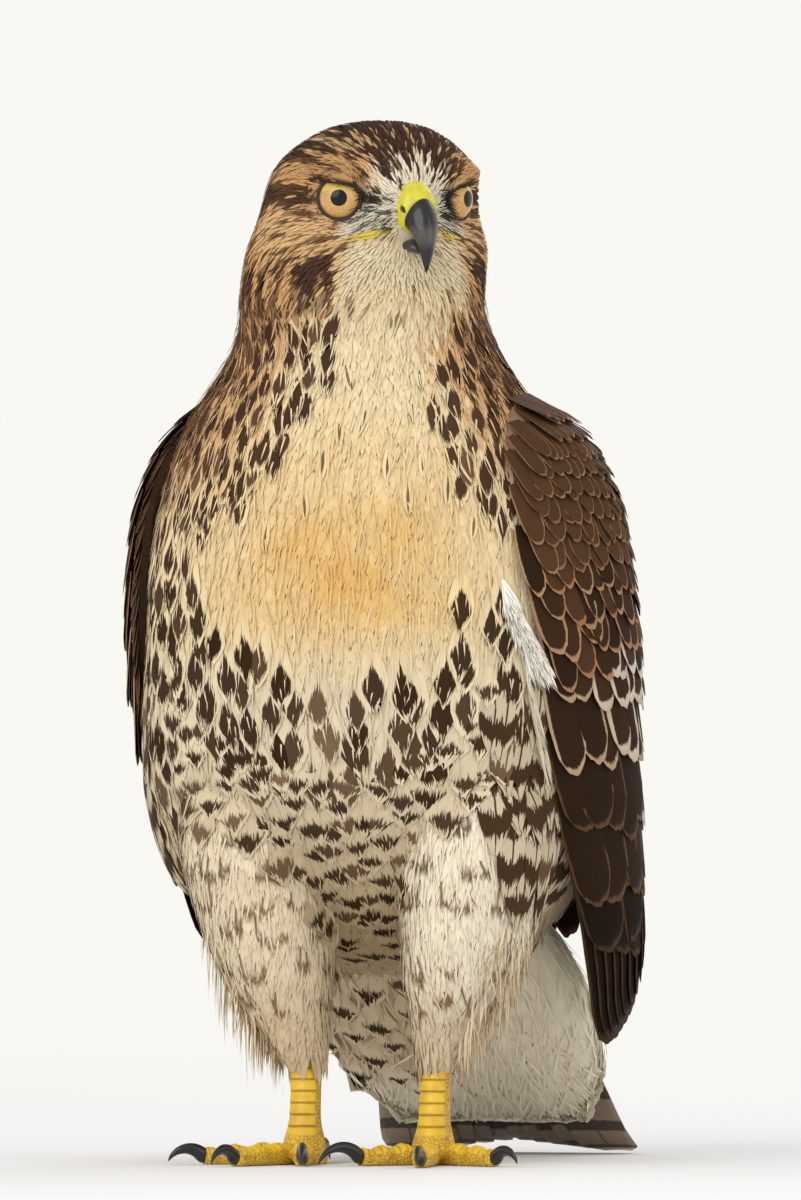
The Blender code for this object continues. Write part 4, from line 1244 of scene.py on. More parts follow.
class Skin:
    """The finished skin, where feathers are rooted and which they lie along."""

    def __init__(self, made, labels):
        self.corners = triangles_of(made.data)
        self.points = points_of(made.data)
        self.normals = normals_of(made.data)
        self.labels = labels
        self.tree = BVHTree.FromPolygons([tuple(point) for point in self.points], self.corners.tolist())

    def scatter(self, spacing, wanted, rng):
        """Points about a spacing apart on the triangles whose middle is wanted."""
        middles = self.points[self.corners].mean(1)
        labels = self.labels[self.corners[:, 0]]
        chosen = self.corners[wanted(middles, labels)]
        a, b, c = (self.points[chosen[:, k]] for k in range(3))
        area = np.linalg.norm(np.cross(b - a, c - a), axis=1) / 2
        count = int(area.sum() / spacing**2 * 4)
        which = rng.choice(len(chosen), count, p=area / area.sum())
        first, second = rng.random((2, count, 1))
        flip = first + second > 1
        first = np.where(flip, 1 - first, first)
        second = np.where(flip, 1 - second, second)
        spots = a[which] + (b[which] - a[which]) * first + (c[which] - a[which]) * second
        kept = spaced(spots, spacing)
        found = chosen[which[kept]]
        return spots[kept], unit(self.normals[found].mean(1)), self.labels[found[:, 0]]

    def trace(self, roots, normals, ahead, lengths, rows, hang_below=0.0):
        """Midlines that follow the skin: places, normals and directions for each row."""
        places, outs, aheads = [roots], [normals], [ahead]
        step = lengths[:, None] / (rows - 1)
        for _ in range(rows - 1):
            near = places[-1] + aheads[-1] * step
            out = outs[-1].copy()
            for index, point in enumerate(near.copy()):
                if point[2] >= hang_below:
                    near[index], out[index] = self.tree.find_nearest(point)[:2]
            out = unit(out + outs[-1])
            direction = unit(near - places[-1])
            direction = unit(direction - out * (direction * out).sum(1)[:, None])
            places.append(near)
            outs.append(out)
            aheads.append(direction)
        return np.stack(places, 1), np.stack(outs, 1), np.stack(aheads, 1)


def spaced(spots, spacing):
    """Keep each spot that is at least a spacing from all that are already kept."""
    cells = {}
    kept = []
    keys = np.floor(spots / spacing).astype(int).tolist()
    near = [(i, j, k) for i in (-1, 0, 1) for j in (-1, 0, 1) for k in (-1, 0, 1)]
    limit = spacing**2

    def crowded(x, y, z, key):
        for i, j, k in near:
            for a, b, c in cells.get((key[0] + i, key[1] + j, key[2] + k), ()):
                if (a - x) ** 2 + (b - y) ** 2 + (c - z) ** 2 < limit:
                    return True
        return False

    for index, (spot, key) in enumerate(zip(spots.tolist(), keys)):
        if not crowded(*spot, key):
            kept.append(index)
            cells.setdefault(tuple(key), []).append(spot)
    return np.array(kept, int)


# How wide a vane is along its length, as shares of its half width
HAIR_PROFILE = ((0, 0.6), (0.30, 1.0), (0.65, 0.90), (0.88, 0.50), (1, 0.06))
BODY_PROFILE = ((0, 0.30), (0.25, 0.75), (0.55, 1.0), (0.8, 0.92), (1, 0.55))
FLIGHT_PROFILE = ((0, 0.55), (0.2, 0.85), (0.6, 1.0), (0.9, 0.92), (1, 0.62))
SPOT_PROFILE = ((0, 0.20), (0.25, 0.70), (0.55, 1.0), (0.78, 0.92), (0.92, 0.60), (1, 0.25))
LOCK_PROFILE = ((0, 0.5), (0.3, 1.0), (0.7, 0.7), (1, 0.12))


def vane_grid(
    line, half_width, lift, columns, rng, profile=BODY_PROFILE, dome=0.10, cup=0.05, fray=0.10, ruffle=0.10
):
    """Points of many vanes: feather, row, column. The line holds places, normals and directions."""
    places, normals, aheads = line
    count, rows = places.shape[:2]
    run = np.linspace(0, 1, rows)
    across = np.linspace(-1, 1, columns)[None, None, :]
    shares = np.interp(run, *np.array(profile).T)
    half = np.asarray(half_width)[:, None, None] * shares[None, :, None]
    roll = rng.normal(0, ruffle, count)[:, None, None]
    sides = unit(np.cross(normals, aheads) + normals * roll)
    offset = across * half
    rise = lift[:, :, None] + dome * half * (1 - across**2) - offset**2 / (2 * cup)
    pull = half * 0.9 * across**2 * (run[None, :, None] ** 3)
    length = np.linalg.norm(places[:, -1] - places[:, 0], axis=1)
    ragged = rng.random((count, 1, columns)) * fray * length[:, None, None] * run[None, :, None] ** 2
    points = places[:, :, None] + sides[:, :, None] * offset[..., None]
    points = points + normals[:, :, None] * rise[..., None]
    points = points - aheads[:, :, None] * (pull + ragged)[..., None]
    points[..., 2] = np.maximum(points[..., 2], FLOOR_GAP)
    return points


def coat(points, normals, look, spots, patch=0.003):
    """What a coat piece needs of one set of vanes."""
    ground, mark, pattern, *arrow = look
    return points, normals, (ground, mark, pattern), arrow[0] if arrow else 0.0, spots, patch


def point_colours(values, count, rows, columns):
    """One colour for all, or one for each vane or each of its rows, at every point of the grids."""
    values = np.asarray(values, float)
    if values.shape[-1] == 3:
        values = np.concatenate([values, np.ones((*values.shape[:-1], 1))], -1)
    if values.ndim < 3:
        values = np.broadcast_to(values[..., None, :], (count, rows, 4))
    return np.repeat(values, columns, 1).reshape(-1, 4)


def vane_set(item, rng):
    """Points, faces, marks and unwrap of one set of vanes."""
    vanes, normals, colours, arrow, spots, patch = item
    count, rows, columns = vanes.shape[:3]
    grid = rows * columns
    index = np.arange(grid).reshape(rows, columns)
    quads = np.stack([index[:-1, :-1], index[1:, :-1], index[1:, 1:], index[:-1, 1:]], -1).reshape(-1, 4)
    local = np.empty((count, rows, columns, 3))
    local[..., 0] = np.linspace(-1, 1, columns)
    local[..., 1] = np.linspace(0, 1, rows)[:, None]
    local[..., 2] = rng.random(count)[:, None, None]
    on_patch = patch * np.stack([local[..., 0] / 2, local[..., 1] - 0.5], -1).reshape(count, grid, 2)
    found = {
        "points": vanes.reshape(-1, 3),
        "faces": (quads[None] + grid * np.arange(count)[:, None, None]).reshape(-1, 4),
        "soft": np.broadcast_to(normals[:, :, None], vanes.shape).reshape(-1, 3),
        "uv": np.clip((spots[:, None] + on_patch).reshape(-1, 2), 0.001, 0.999),
        "vane": local.reshape(-1, 3),
        "arrow": np.repeat(np.broadcast_to(arrow, count), grid),
    }
    for key, values in zip(("ground", "mark", "pattern"), colours):
        found[key] = point_colours(values, count, rows, columns)
    return found


def coat_object(name, coats, finish, slot, rng, softness=0.6, thickness=0.0):
    """One mesh of all the vanes of several sets."""
    sets = [vane_set(item, rng) for item in coats]
    points, faces = joined([(found["points"], found["faces"]) for found in sets])
    together = {key: np.concatenate([found[key] for found in sets]) for key in sets[0]}
    mesh = mesh_of(name, points, faces)
    for key in ("vane", "ground", "mark", "pattern", "arrow"):
        set_attribute(mesh, key, together[key])
    layer = mesh.uv_layers.new(name="OFBake")
    layer.data.foreach_set("uv", together["uv"][faces.ravel()].astype(np.float32).ravel())
    if softness:
        mixed = unit(normals_of(mesh) * (1 - softness) + unit(together["soft"]) * softness)
        mesh.normals_split_custom_set_from_vertices(mixed)
    made = add_object(name, mesh)
    mesh.materials.append(finish)
    if thickness:
        shell = made.modifiers.new("shell", "SOLIDIFY")
        shell.thickness = thickness
        shell.offset = -1
        shell.use_rim = True
    return finish_piece(made, slot)


def finish_piece(made, slot, *nodes):
    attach(made, "root")
    if nodes:
        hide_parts(*nodes)
    return made


def solid_piece(name, points, faces, finish, slot, *nodes, **numbers):
    """A closed form as one piece, with the numbers that its material reads at each point."""
    mesh = mesh_of(name, points, faces)
    outward_faces(mesh)
    for word, values in numbers.items():
        set_attribute(mesh, word, np.broadcast_to(values, (len(points), *np.shape(values)[1:])))
    made = add_object(name, mesh)
    mesh.materials.append(finish)
    return finish_piece(made, slot, *nodes)


UNWRAP_EDGE = 0.02
UNWRAP_SPAN = 0.96
BODY_TOP = 0.47
HEAD_SPAN = (0.36, 0.102)           # the lowest place on the head's unwrap, and the height it covers
LEG_TOP = 0.19


def unwrapped(turn, height):
    """Places on an unwrap, from degrees round a form and a share of its height."""
    return np.stack([UNWRAP_EDGE + UNWRAP_SPAN * (turn + 180) / 360, UNWRAP_EDGE + UNWRAP_SPAN * height], -1)


def round_spots(points):
    return unwrapped(hull_turn(points), points[:, 2] / BODY_TOP)


def head_spots(points):
    return unwrapped(head_turn(points), (points[:, 2] - HEAD_SPAN[0]) / HEAD_SPAN[1])


def leg_spots(points):
    left, _, height = body_parts(points)
    across = 0.25 + 0.25 * np.sign(left) + 0.46 * round_leg(points) + 0.02
    return np.stack([across, UNWRAP_EDGE + UNWRAP_SPAN * height / LEG_TOP], -1)


def lift_curve(rows, root, tip, count, bend=1.0):
    run = np.linspace(0, 1, rows) ** bend
    return np.tile(root + (tip - root) * run, (count, 1))


def row_looks(places, labels, rng, recolour):
    """Looks read near the tips: on leggings row by row, and on marked feathers from the root."""
    rows = places.shape[1]
    shown = places[:, (3 * rows) // 4]
    look = body_look(shown, labels, rng)
    if (labels == ON_THIGH).all():
        ground = np.stack([thigh_look(places[:, row])[0] for row in range(rows)], 1)
        look = (ground, ground[:, -1], look[2])
    if recolour:
        root_ground = body_look(places[:, rows // 4], labels, rng)[0]
        look = recolour(shown, look, rng)
        apart = np.abs(root_ground - look[0]).max(1)
        root_ground = np.where((apart > MOST_FADE)[:, None], look[0], root_ground)
        run = np.linspace(0, 1, rows)[None, :, None]
        look = (root_ground[:, None] + (look[0] - root_ground)[:, None] * run, *look[1:])
    return look


def body_feathers(
    skin, spacing, wanted, length, half_width, tip_lift, rows, columns, rng,
    swing=0.10, bend=1.0, hang_below=0.0, spots=round_spots, recolour=None, **shape,
):
    """A set of vanes over a part of the skin."""
    roots, normals, labels = skin.scatter(spacing, wanted, rng)
    ahead = lie_direction(roots, normals, labels)
    ahead = unit(ahead + np.cross(normals, ahead) * rng.normal(0, swing, len(roots))[:, None])
    size = rng.uniform(0.85, 1.15, len(roots)) * eye_shortening(roots)
    line = skin.trace(roots, normals, ahead, length * size, rows, hang_below)
    lift = lift_curve(rows, ROOT_LIFT, tip_lift, len(roots), bend)
    look = row_looks(line[0], labels, rng, recolour)
    points = vane_grid(line, half_width * size, lift, columns, rng, **shape)
    return coat(points, line[1], look, spots(roots))


def trunk_area(low, high, more=None, covered=True):
    """A test for places on the trunk between two heights, with one more condition."""

    def wanted(points, labels):
        shown = (labels == ON_TRUNK) & between(points[:, 2], low, high)
        if not covered:
            shown = shown & ~under_wing(points)
        return shown & more(points) if more else shown

    return wanted


def on_head(points, labels):
    return ((labels == ON_TRUNK) | (labels == ON_BROW)) & (points[:, 2] > 0.384) & ~off_face(points)


def face_area(points, labels):
    return on_head(points, labels) & (head_parts(points)[1] > 0.010)


def crown_area(points, labels):
    return on_head(points, labels) & (head_parts(points)[1] <= 0.010)


def leg_area(points, labels):
    return labels == ON_THIGH


def vent_area(points, labels):
    return labels == ON_UNDERTAIL


neck_area = trunk_area(0.322, 0.388)
breast_area = trunk_area(0.250, 0.328, covered=False)
middle_area = trunk_area(0.180, 0.255, covered=False)
belly_area = trunk_area(0.0, 0.186, covered=False)


# The small feathers: piece, finish, slot, where, spacing, length, half width, tip's lift, unwrap, swing
COAT_PIECES = (
    ("face", "head", "head_plumage", face_area, 0.00120, 0.0068, 0.00060, 0.0017, head_spots, 0.12),
    ("crown", "head", "head_plumage", crown_area, 0.00165, 0.0100, 0.00105, 0.0020, head_spots, 0.12),
    ("neck", "soft", "head_plumage", neck_area, 0.00190, 0.0140, 0.00165, 0.0016, round_spots, 0.09),
    ("breast", "soft", "breast_plumage", breast_area, 0.00180, 0.0150, 0.00200, 0.0009, round_spots, 0.09),
    ("middle", "soft", "breast_plumage", middle_area, 0.00180, 0.0150, 0.00200, 0.0010, round_spots, 0.09),
    ("belly", "soft", "breast_plumage", belly_area, 0.00200, 0.0150, 0.00180, 0.0016, round_spots, 0.10),
    ("legging", "down", "white_down", leg_area, 0.00200, 0.0160, 0.00165, 0.0016, leg_spots, 0.10),
    ("undertail", "down", "white_down", vent_area, 0.00215, 0.0260, 0.00300, 0.0007, round_spots, 0.08),
)
COAT_POINTS = (5, 4)                 # along and across a vane
COAT_SHAPE = {"fray": 0.12, "cup": 0.06, "dome": 0.04, "profile": HAIR_PROFILE, "ruffle": 0.02, "bend": 0.5}


def make_coat(skin, finishes, rng):
    """The small feathers over all the skin, piece by piece."""
    for name, finish, slot, where, spacing, length, half_width, lift, spots, swing in COAT_PIECES:
        hang_below = LEGGING_FOOT if where is leg_area else 0.0
        vanes = body_feathers(
            skin, spacing, where, length, half_width, lift, *COAT_POINTS, rng,
            spots=spots, swing=swing, hang_below=hang_below, **COAT_SHAPE,
        )
        coat_object(f"{name}_feathers", [vanes], finishes[finish], slot, rng, 0.96)


# Markings that lie over the body's plain feathers


def belly_top(turn):
    """Where the spots of the belly start, higher at the flanks than in the middle."""
    return 0.232 + 0.048 * smooth(10, 48, np.abs(turn))


def leaf_places(points):
    turn = hull_turn(points)
    height = points[:, 2]
    top = belly_top(turn) + 0.026 * (cell_noise(turn / 6, height * 20, 9) - 0.5)
    kept = (height < top - 0.022) | (cell_noise(turn * 3, height * 500, 7) > 0.42)
    return (np.abs(turn) < FRONT_TURN) & (height < top) & (height > belly_top(turn) - 0.050) & kept


def arrow_places(points):
    turn = hull_turn(points)
    return (np.abs(turn) < FRONT_TURN) & (points[:, 2] < belly_top(turn) - 0.046)


def sparse_places(points):
    some = cell_noise(points[:, 0] * 130, points[:, 2] * 90, 9) < 0.42
    return between(neck_edge(points), -26, -4) & some


def mantle_places(points):
    return np.abs(hull_turn(points)) > 104 - 12 * smooth(0.33, 0.36, points[:, 2])


leaf_area = trunk_area(0.0, 1.0, leaf_places)
side_area = trunk_area(0.124, 0.288, lambda points: between(hull_turn(points), -84, -43), False)
arrow_area = trunk_area(0.097, 1.0, arrow_places)
streak_area = trunk_area(0.305, 0.384, lambda points: between(neck_edge(points), -2, 62))
side_edge = trunk_area(0.250, 0.330, lambda points: np.abs(hull_turn(points)) < 84, False)
sparse_area = trunk_area(0.285, 0.362, sparse_places)
mantle_area = trunk_area(0.100, 0.382, mantle_places, False)


def vent_arrow_area(points, labels):
    return vent_area(points, labels) & (vent_middle(points) > 0.5)


def drop_area(points, labels):
    return side_edge(points, labels) & (neck_edge(points) > -4)


def veil_area(points, labels):
    low = (labels == ON_TRUNK) & (points[:, 2] < 0.390) | (labels == ON_THIGH) & (points[:, 2] > 0.07)
    return low & ~under_wing(points) & ~mantle_area(points, labels)


# Marks: weight of the spot, slimness, whether it is an arrowhead, and the two ends of its colour
BELLY_MARK = (SPOT, GREY_SPOT)
NECK_MARK = (STREAK, PALE_STREAK)
MARKS = {
    "leaf": ((0.97, 1.0), (0.0, 0.35), 0.0, BELLY_MARK),
    "arrow": ((0.96, 1.0), (0.0, 0.4), 1.0, BELLY_MARK),
    "streak": (0.99, 0.0, 0.0, NECK_MARK),
    "drop": (0.98, (0.2, 0.5), 0.0, NECK_MARK),
    "line": (0.85, 0.85, 0.0, NECK_MARK),
}
# Marked feathers of a piece: mark, where, spacing, length, half width, tip's lift
SPOTTED = (
    ("leaf", leaf_area, 0.0098, 0.0330, 0.0068, 0.0024),
    ("leaf", side_area, 0.0122, 0.0340, 0.0086, 0.0026),
    ("arrow", arrow_area, 0.0089, 0.0250, 0.0096, 0.0024),
    ("arrow", vent_arrow_area, 0.0130, 0.0240, 0.0088, 0.0030),
)
STREAKED = (
    ("streak", streak_area, 0.0068, 0.0310, 0.0037, 0.0020),
    ("drop", drop_area, 0.0092, 0.0300, 0.0044, 0.0020),
    ("line", sparse_area, 0.0120, 0.0220, 0.0022, 0.0019),
)
MARK_POINTS = (8, 7)                 # along and across a vane
MARK_SHAPE = {"bend": 0.35, "ruffle": 0.02, "cup": 0.06, "dome": 0.04, "fray": 0.16}
STRAND_SHAPE = {"fray": 0.2, "cup": 0.03, "profile": HAIR_PROFILE, "ruffle": 0.05}


def marked(ground, colours, rng, spot=0.0, slim=0.0, arrow=0.0, bars=0.0):
    """The same feathers with a mark of the given weight and form on each."""
    count = len(ground)
    weights = np.broadcast_arrays(spot, bars, slim, np.zeros(count))
    mark = blend(*colours, rng.random(count) ** 5)
    return ground, mark, np.stack(weights, -1), np.full(count, arrow)


def marker(kind):
    spot, slim, arrow, colours = MARKS[kind]

    def recolour(points, look, rng):
        drawn = []
        for ends in (spot, slim):
            drawn.append(rng.uniform(*ends, len(points)) if isinstance(ends, tuple) else ends)
        return marked(look[0], colours, rng, *drawn, arrow)

    return recolour


def mantle(points, look, rng):
    """The back's dark feathers with pale edges."""
    count = len(points)
    edge = blend(srgb(142, 112, 86), srgb(186, 156, 124), rng.random(count) ** 2)
    return edge, blend(WING_DARK, WING_DEEP, rng.random(count)), np.tile((0, 0, 0, 0.86), (count, 1))


def add_overlay(skin, recolour, wanted, spacing, length, half_width, lift, rng, profile=SPOT_PROFILE):
    return body_feathers(
        skin, spacing, wanted, length, half_width, lift, *MARK_POINTS, rng,
        recolour=recolour, profile=profile, **MARK_SHAPE,
    )


def make_markings(skin, finishes, rng):
    """Larger feathers over the plain coat that carry its marks, and single strands over them."""
    soft = finishes["soft"]
    spotted = [add_overlay(skin, marker(kind), *sizes, rng) for kind, *sizes in SPOTTED]
    coat_object("spotted_feathers", spotted, soft, "breast_plumage", rng, 0.96)
    streaked = [add_overlay(skin, marker(kind), *sizes, rng) for kind, *sizes in STREAKED]
    coat_object("streaked_feathers", streaked, soft, "head_plumage", rng, 0.94)
    back = add_overlay(skin, mantle, mantle_area, 0.0088, 0.0260, 0.0074, 0.0026, rng, FLIGHT_PROFILE)
    coat_object("mantle_feathers", [back], finishes["wing"], "wing_plumage", rng, 0.6)
    veil = body_feathers(
        skin, 0.0040, veil_area, 0.0170, 0.00042, 0.0027, 6, 3, rng, swing=0.16, bend=0.42, **STRAND_SHAPE
    )
    coat_object("veil_feathers", [veil], soft, "breast_plumage", rng, 0.95)
    fringe = body_feathers(
        skin, 0.0044, vent_area, 0.0250, 0.00055, 0.0034, 6, 3, rng, swing=0.30, bend=0.9, **STRAND_SHAPE
    )
    coat_object("undertail_down", [fringe], finishes["down"], "white_down", rng, 0.4)


FLANK_ROWS = (0.228, 0.208, 0.188, 0.168, 0.149)
FLANK_PITCH = 7.0                   # degrees between feathers
FLANKS = ((1, 47, 67), (-1, 74, 88))    # side, then first and last degrees from the breast's middle
FLANK_LENGTH = 0.050
FLANK_HALF_WIDTH = 0.0085
FLANK_POINTS = (12, 9)              # along and across a vane
FLANK_SHAPE = (0.05, 0.06, 0.06, 0.03)      # dome, cup, fray and ruffle
TUFT_STRANDS = 1300
TUFT_TOP = 0.258
TUFT_LENGTH = (0.010, 0.018)
WISP_LENGTH = (0.018, 0.032)
TUFT_WISPS = 44                     # the longest strands, which hang below the tuft


def flank_places(rng):
    places, sizes = [], []
    for side, first, last in FLANKS:
        for index, height in enumerate(FLANK_ROWS):
            start = first + 3.5 * (index % 2) - 1.5 * index * (side > 0)
            for turn in np.arange(start, last + 5 * index * (side > 0), FLANK_PITCH):
                angle = math.radians(side * (turn + rng.normal(0, 1.2)))
                places.append(torso_surface(np.array([angle]), height + rng.normal(0, 0.003))[0])
                sizes.append(rng.uniform(0.9, 1.1))
    return places, np.array(sizes)


def make_flank(skin, finishes, rng):
    """Long white feathers with broad bars beside each wing."""
    places, sizes = flank_places(rng)
    roots, normals = np.array([skin.tree.find_nearest(place)[:2] for place in places]).transpose(1, 0, 2)
    labels = np.full(len(roots), ON_TRUNK)
    rows, columns = FLANK_POINTS
    line = skin.trace(roots, normals, lie_direction(roots, normals, labels), FLANK_LENGTH * sizes, rows)
    lift = lift_curve(rows, ROOT_LIFT, 0.0030, len(roots), 0.4)
    points = vane_grid(line, FLANK_HALF_WIDTH * sizes, lift, columns, rng, SPOT_PROFILE, *FLANK_SHAPE)
    ground = body_look(roots, labels, rng)[0]
    _, *marks = marked(ground, (FLANK_BAR, GREY_SPOT), rng, bars=0.98)
    bars = coat(points, line[1], (FLANK_GROUND, *marks), round_spots(roots))
    coat_object("flank_feathers", [bars], finishes["soft"], "breast_plumage", rng, 0.9)


def make_tuft(finishes, rng):
    """The white tuft at the left wing's edge."""
    count = TUFT_STRANDS
    height = TUFT_TOP - 0.034 * rng.random(count) ** 0.8
    low = smooth(0.257, 0.224, height)
    share = -0.072 + 0.042 * low + (0.005 + 0.010 * low) * rng.uniform(-1, 1, count)
    length = rng.uniform(*TUFT_LENGTH, count)
    slant = np.radians(rng.uniform(-4, 30, count))
    down = rng.uniform(0, 1, TUFT_WISPS)
    length[:TUFT_WISPS] = rng.uniform(*WISP_LENGTH, TUFT_WISPS)
    height[:TUFT_WISPS] = 0.222 - 0.034 * down
    share[:TUFT_WISPS] = -0.052 + 0.012 * down + rng.uniform(-0.006, 0.006, TUFT_WISPS)
    slant[:TUFT_WISPS] = np.radians(rng.uniform(6, 14, TUFT_WISPS))
    level = rng.uniform(0.0006, 0.0034, count)
    rises = (level - 0.0030, level)
    line, lift = hull_line(1, wing_turn(1, share, height), height, slant, length, 6, rises)
    half_width = rng.uniform(0.0004, 0.0007, count)
    points = vane_grid(line, half_width, lift, 4, rng, HAIR_PROFILE, fray=0.2, cup=0.03, ruffle=0.1)
    white = blend(TUFT_WHITE, TUFT_SHADE, np.arange(count) < TUFT_WISPS)
    tuft = coat(points, line[1], (white, white, PLAIN), round_spots(line[0][:, 0]))
    coat_object("wing_tuft", [tuft], finishes["down"], "white_down", rng, 0.9)


# Locks of the leggings: side, how many, and how much longer the longest is than the shortest
LOCKS = ((1, 380, 0.028), (-1, 480, 0.044))
LOCK_POINTS = 9
LOCK_TURNS = (40, 215)              # degrees round the leg
LOCK_STARTS = (0.060, 0.118)
LOCK_TIPS = (0.028, 0.046)          # the lowest height of a lock's tip
LOCK_COLOURS = (srgb(222, 205, 174), srgb(190, 156, 114))


def legging_locks(side, count, longer, rng):
    angle = np.radians(rng.uniform(*LOCK_TURNS, count))
    start = rng.uniform(*LOCK_STARTS, count)
    length = 0.018 + longer * rng.random(count) ** 1.5
    length = np.minimum(length, start - rng.uniform(*LOCK_TIPS, count))
    run = np.linspace(0, 1, LOCK_POINTS)
    height = start[:, None] - length[:, None] * run
    held = np.maximum(height, start[:, None] - 0.45 * length[:, None])
    drift = rng.normal(0, 0.12, count)[:, None] * run**2
    sweep = rng.normal(0, 0.05, count)[:, None] * np.sin(run * 5 + rng.uniform(0, 6, count)[:, None])
    turn = angle[:, None] + drift + sweep
    places = thigh_surface(side, turn, held, -0.0010)
    outer = thigh_surface(side, turn, held, 0.010)
    places[..., 2] = outer[..., 2] = height
    normals = unit(outer - places)
    aheads = unit(np.gradient(places, axis=1))
    normals = unit(normals - aheads * (normals * aheads).sum(-1)[..., None])
    lift = lift_curve(LOCK_POINTS, ROOT_LIFT, 0.0006, count)
    half = rng.uniform(0.0004, 0.0008, count)
    points = vane_grid((places, normals, aheads), half, lift, 4, rng, LOCK_PROFILE, fray=0.2, ruffle=0.4)
    ground = blend(*LOCK_COLOURS, rng.random(count) ** 2.5 * 0.8)
    return coat(points, normals, (ground, ground, PLAIN), leg_spots(places[:, 0]))


def make_hanging_locks(finishes, rng):
    """Loose locks that leave the leggings and hang past the bare legs."""
    coats = [legging_locks(*row, rng) for row in LOCKS]
    coat_object("legging_locks", coats, finishes["down"], "white_down", rng, 0.0)


# Wings

# Tiers of the large feathers: count, first and last share of the wing's breadth, root height at the front
# and back edges, length, half width, slant at the front and back, lift of the root and the tip
WING_TIERS = (
    ("greater 1", 17, 0.02, 0.96, 0.2440, 0.256, 0.046, 0.0080, (12, -5), (-0.0038, 0.0018)),
    ("greater 2", 16, 0.01, 0.95, 0.2270, 0.240, 0.052, 0.0088, (12, -6), (-0.0042, 0.0013)),
    ("secondaries 1", 14, 0.01, 0.94, 0.2080, 0.220, 0.064, 0.0100, (12, -8), (-0.0046, 0.0006)),
    ("secondaries 2", 13, 0.02, 0.93, 0.1880, 0.198, 0.072, 0.0108, (12, -9), (-0.0050, 0.0000)),
    ("secondaries 3", 12, 0.05, 0.90, 0.1700, 0.178, 0.076, 0.0112, (12, -9), (-0.0054, -0.0004)),
)
COVERT_TOP = 0.3415
COVERT_FOOT = 0.2480
COVERT_BREADTH = 0.235              # the folded wing's breadth, round the hull
COVERT_SHARES = (0.005, 0.965)      # of that breadth
COVERT_SLANTS = (10, -2)            # degrees at the row's front and at its back
SMALL_HALF_WIDTH = 0.0076           # narrower feathers turn more freely and lie flatter
# Points along and across a vane, then its dome, cup, fray and ruffle
SMALL_VANE = (7, 7, 0.08, 0.06, 0.03, 0.06)
LARGE_VANE = (12, 9, 0.08, 0.06, 0.03, 0.04)
PRIMARY_VANE = (18, 9, 0.05, 0.08, 0.01, 0.02)
PRIMARIES = 10
PRIMARY_ROOT = 0.156
PRIMARY_LENGTH = 0.1105
PRIMARY_HALF_WIDTH = 0.0108
MARGIN_HEIGHTS = (0.334, 0.176, -0.0050)    # the front edge's small feathers: top, foot and step
MARGIN_SHARES = (-0.050, -0.034, -0.018, -0.002, 0.014)
WING_BASE_ENDS = (0.336, 0.118)
WING_BASE_POINTS = (60, 30)         # down and across the folded arm


def covert_rows():
    """The small coverts, row by row from the shoulder down, in the form of the large tiers."""
    rows = []
    height = COVERT_TOP
    while height > COVERT_FOOT:
        down = (COVERT_TOP - height) / (COVERT_TOP - COVERT_FOOT)
        half_width = 0.0038 + 0.0037 * down**1.1
        count = int(COVERT_BREADTH * (0.55 + 0.45 * smooth(0.0, 0.25, down)) / (1.55 * half_width))
        shift = 0.5 / count * (len(rows) % 2)
        name = "lesser" if down < 0.55 else "median"
        rise = (-0.0030, 0.0028 - 0.0008 * down)
        length = 0.017 + 0.024 * down
        back = height + 0.012 * down
        first, last = COVERT_SHARES[0] + shift, COVERT_SHARES[1] + shift / 2
        rows.append((name, count, first, last, height, back, length, half_width, COVERT_SLANTS, rise))
        height -= 0.0060 + 0.0058 * down
    return rows


def hull_line(side, angle, height, slant, length, rows, rises):
    """Midlines of feathers that lie on the wings' hull."""
    _, width, _, back = HULL(height)
    radius = ((width + back) / 2)[:, None]
    run = np.linspace(0, 1, rows)[None] * length[:, None]
    level = height[:, None] - run * np.cos(slant)[:, None]
    turn = angle[:, None] + run * np.sin(slant)[:, None] / radius
    places = hull_place(side, turn, level, 0.0)
    outer = hull_place(side, turn, level, 0.01)
    beside = hull_place(side, turn + 0.01, level, 0.0)
    below = hull_place(side, turn, level - 0.001, 0.0)
    normals = unit(np.cross(beside - places, below - places))
    normals = normals * np.sign((normals * (outer - places)).sum(-1))[..., None]
    aheads = unit(np.gradient(places, axis=1))
    lift = rises[0][:, None] + (rises[1] - rises[0])[:, None] * np.linspace(0, 1, rows)[None]
    return (places, normals, aheads), lift


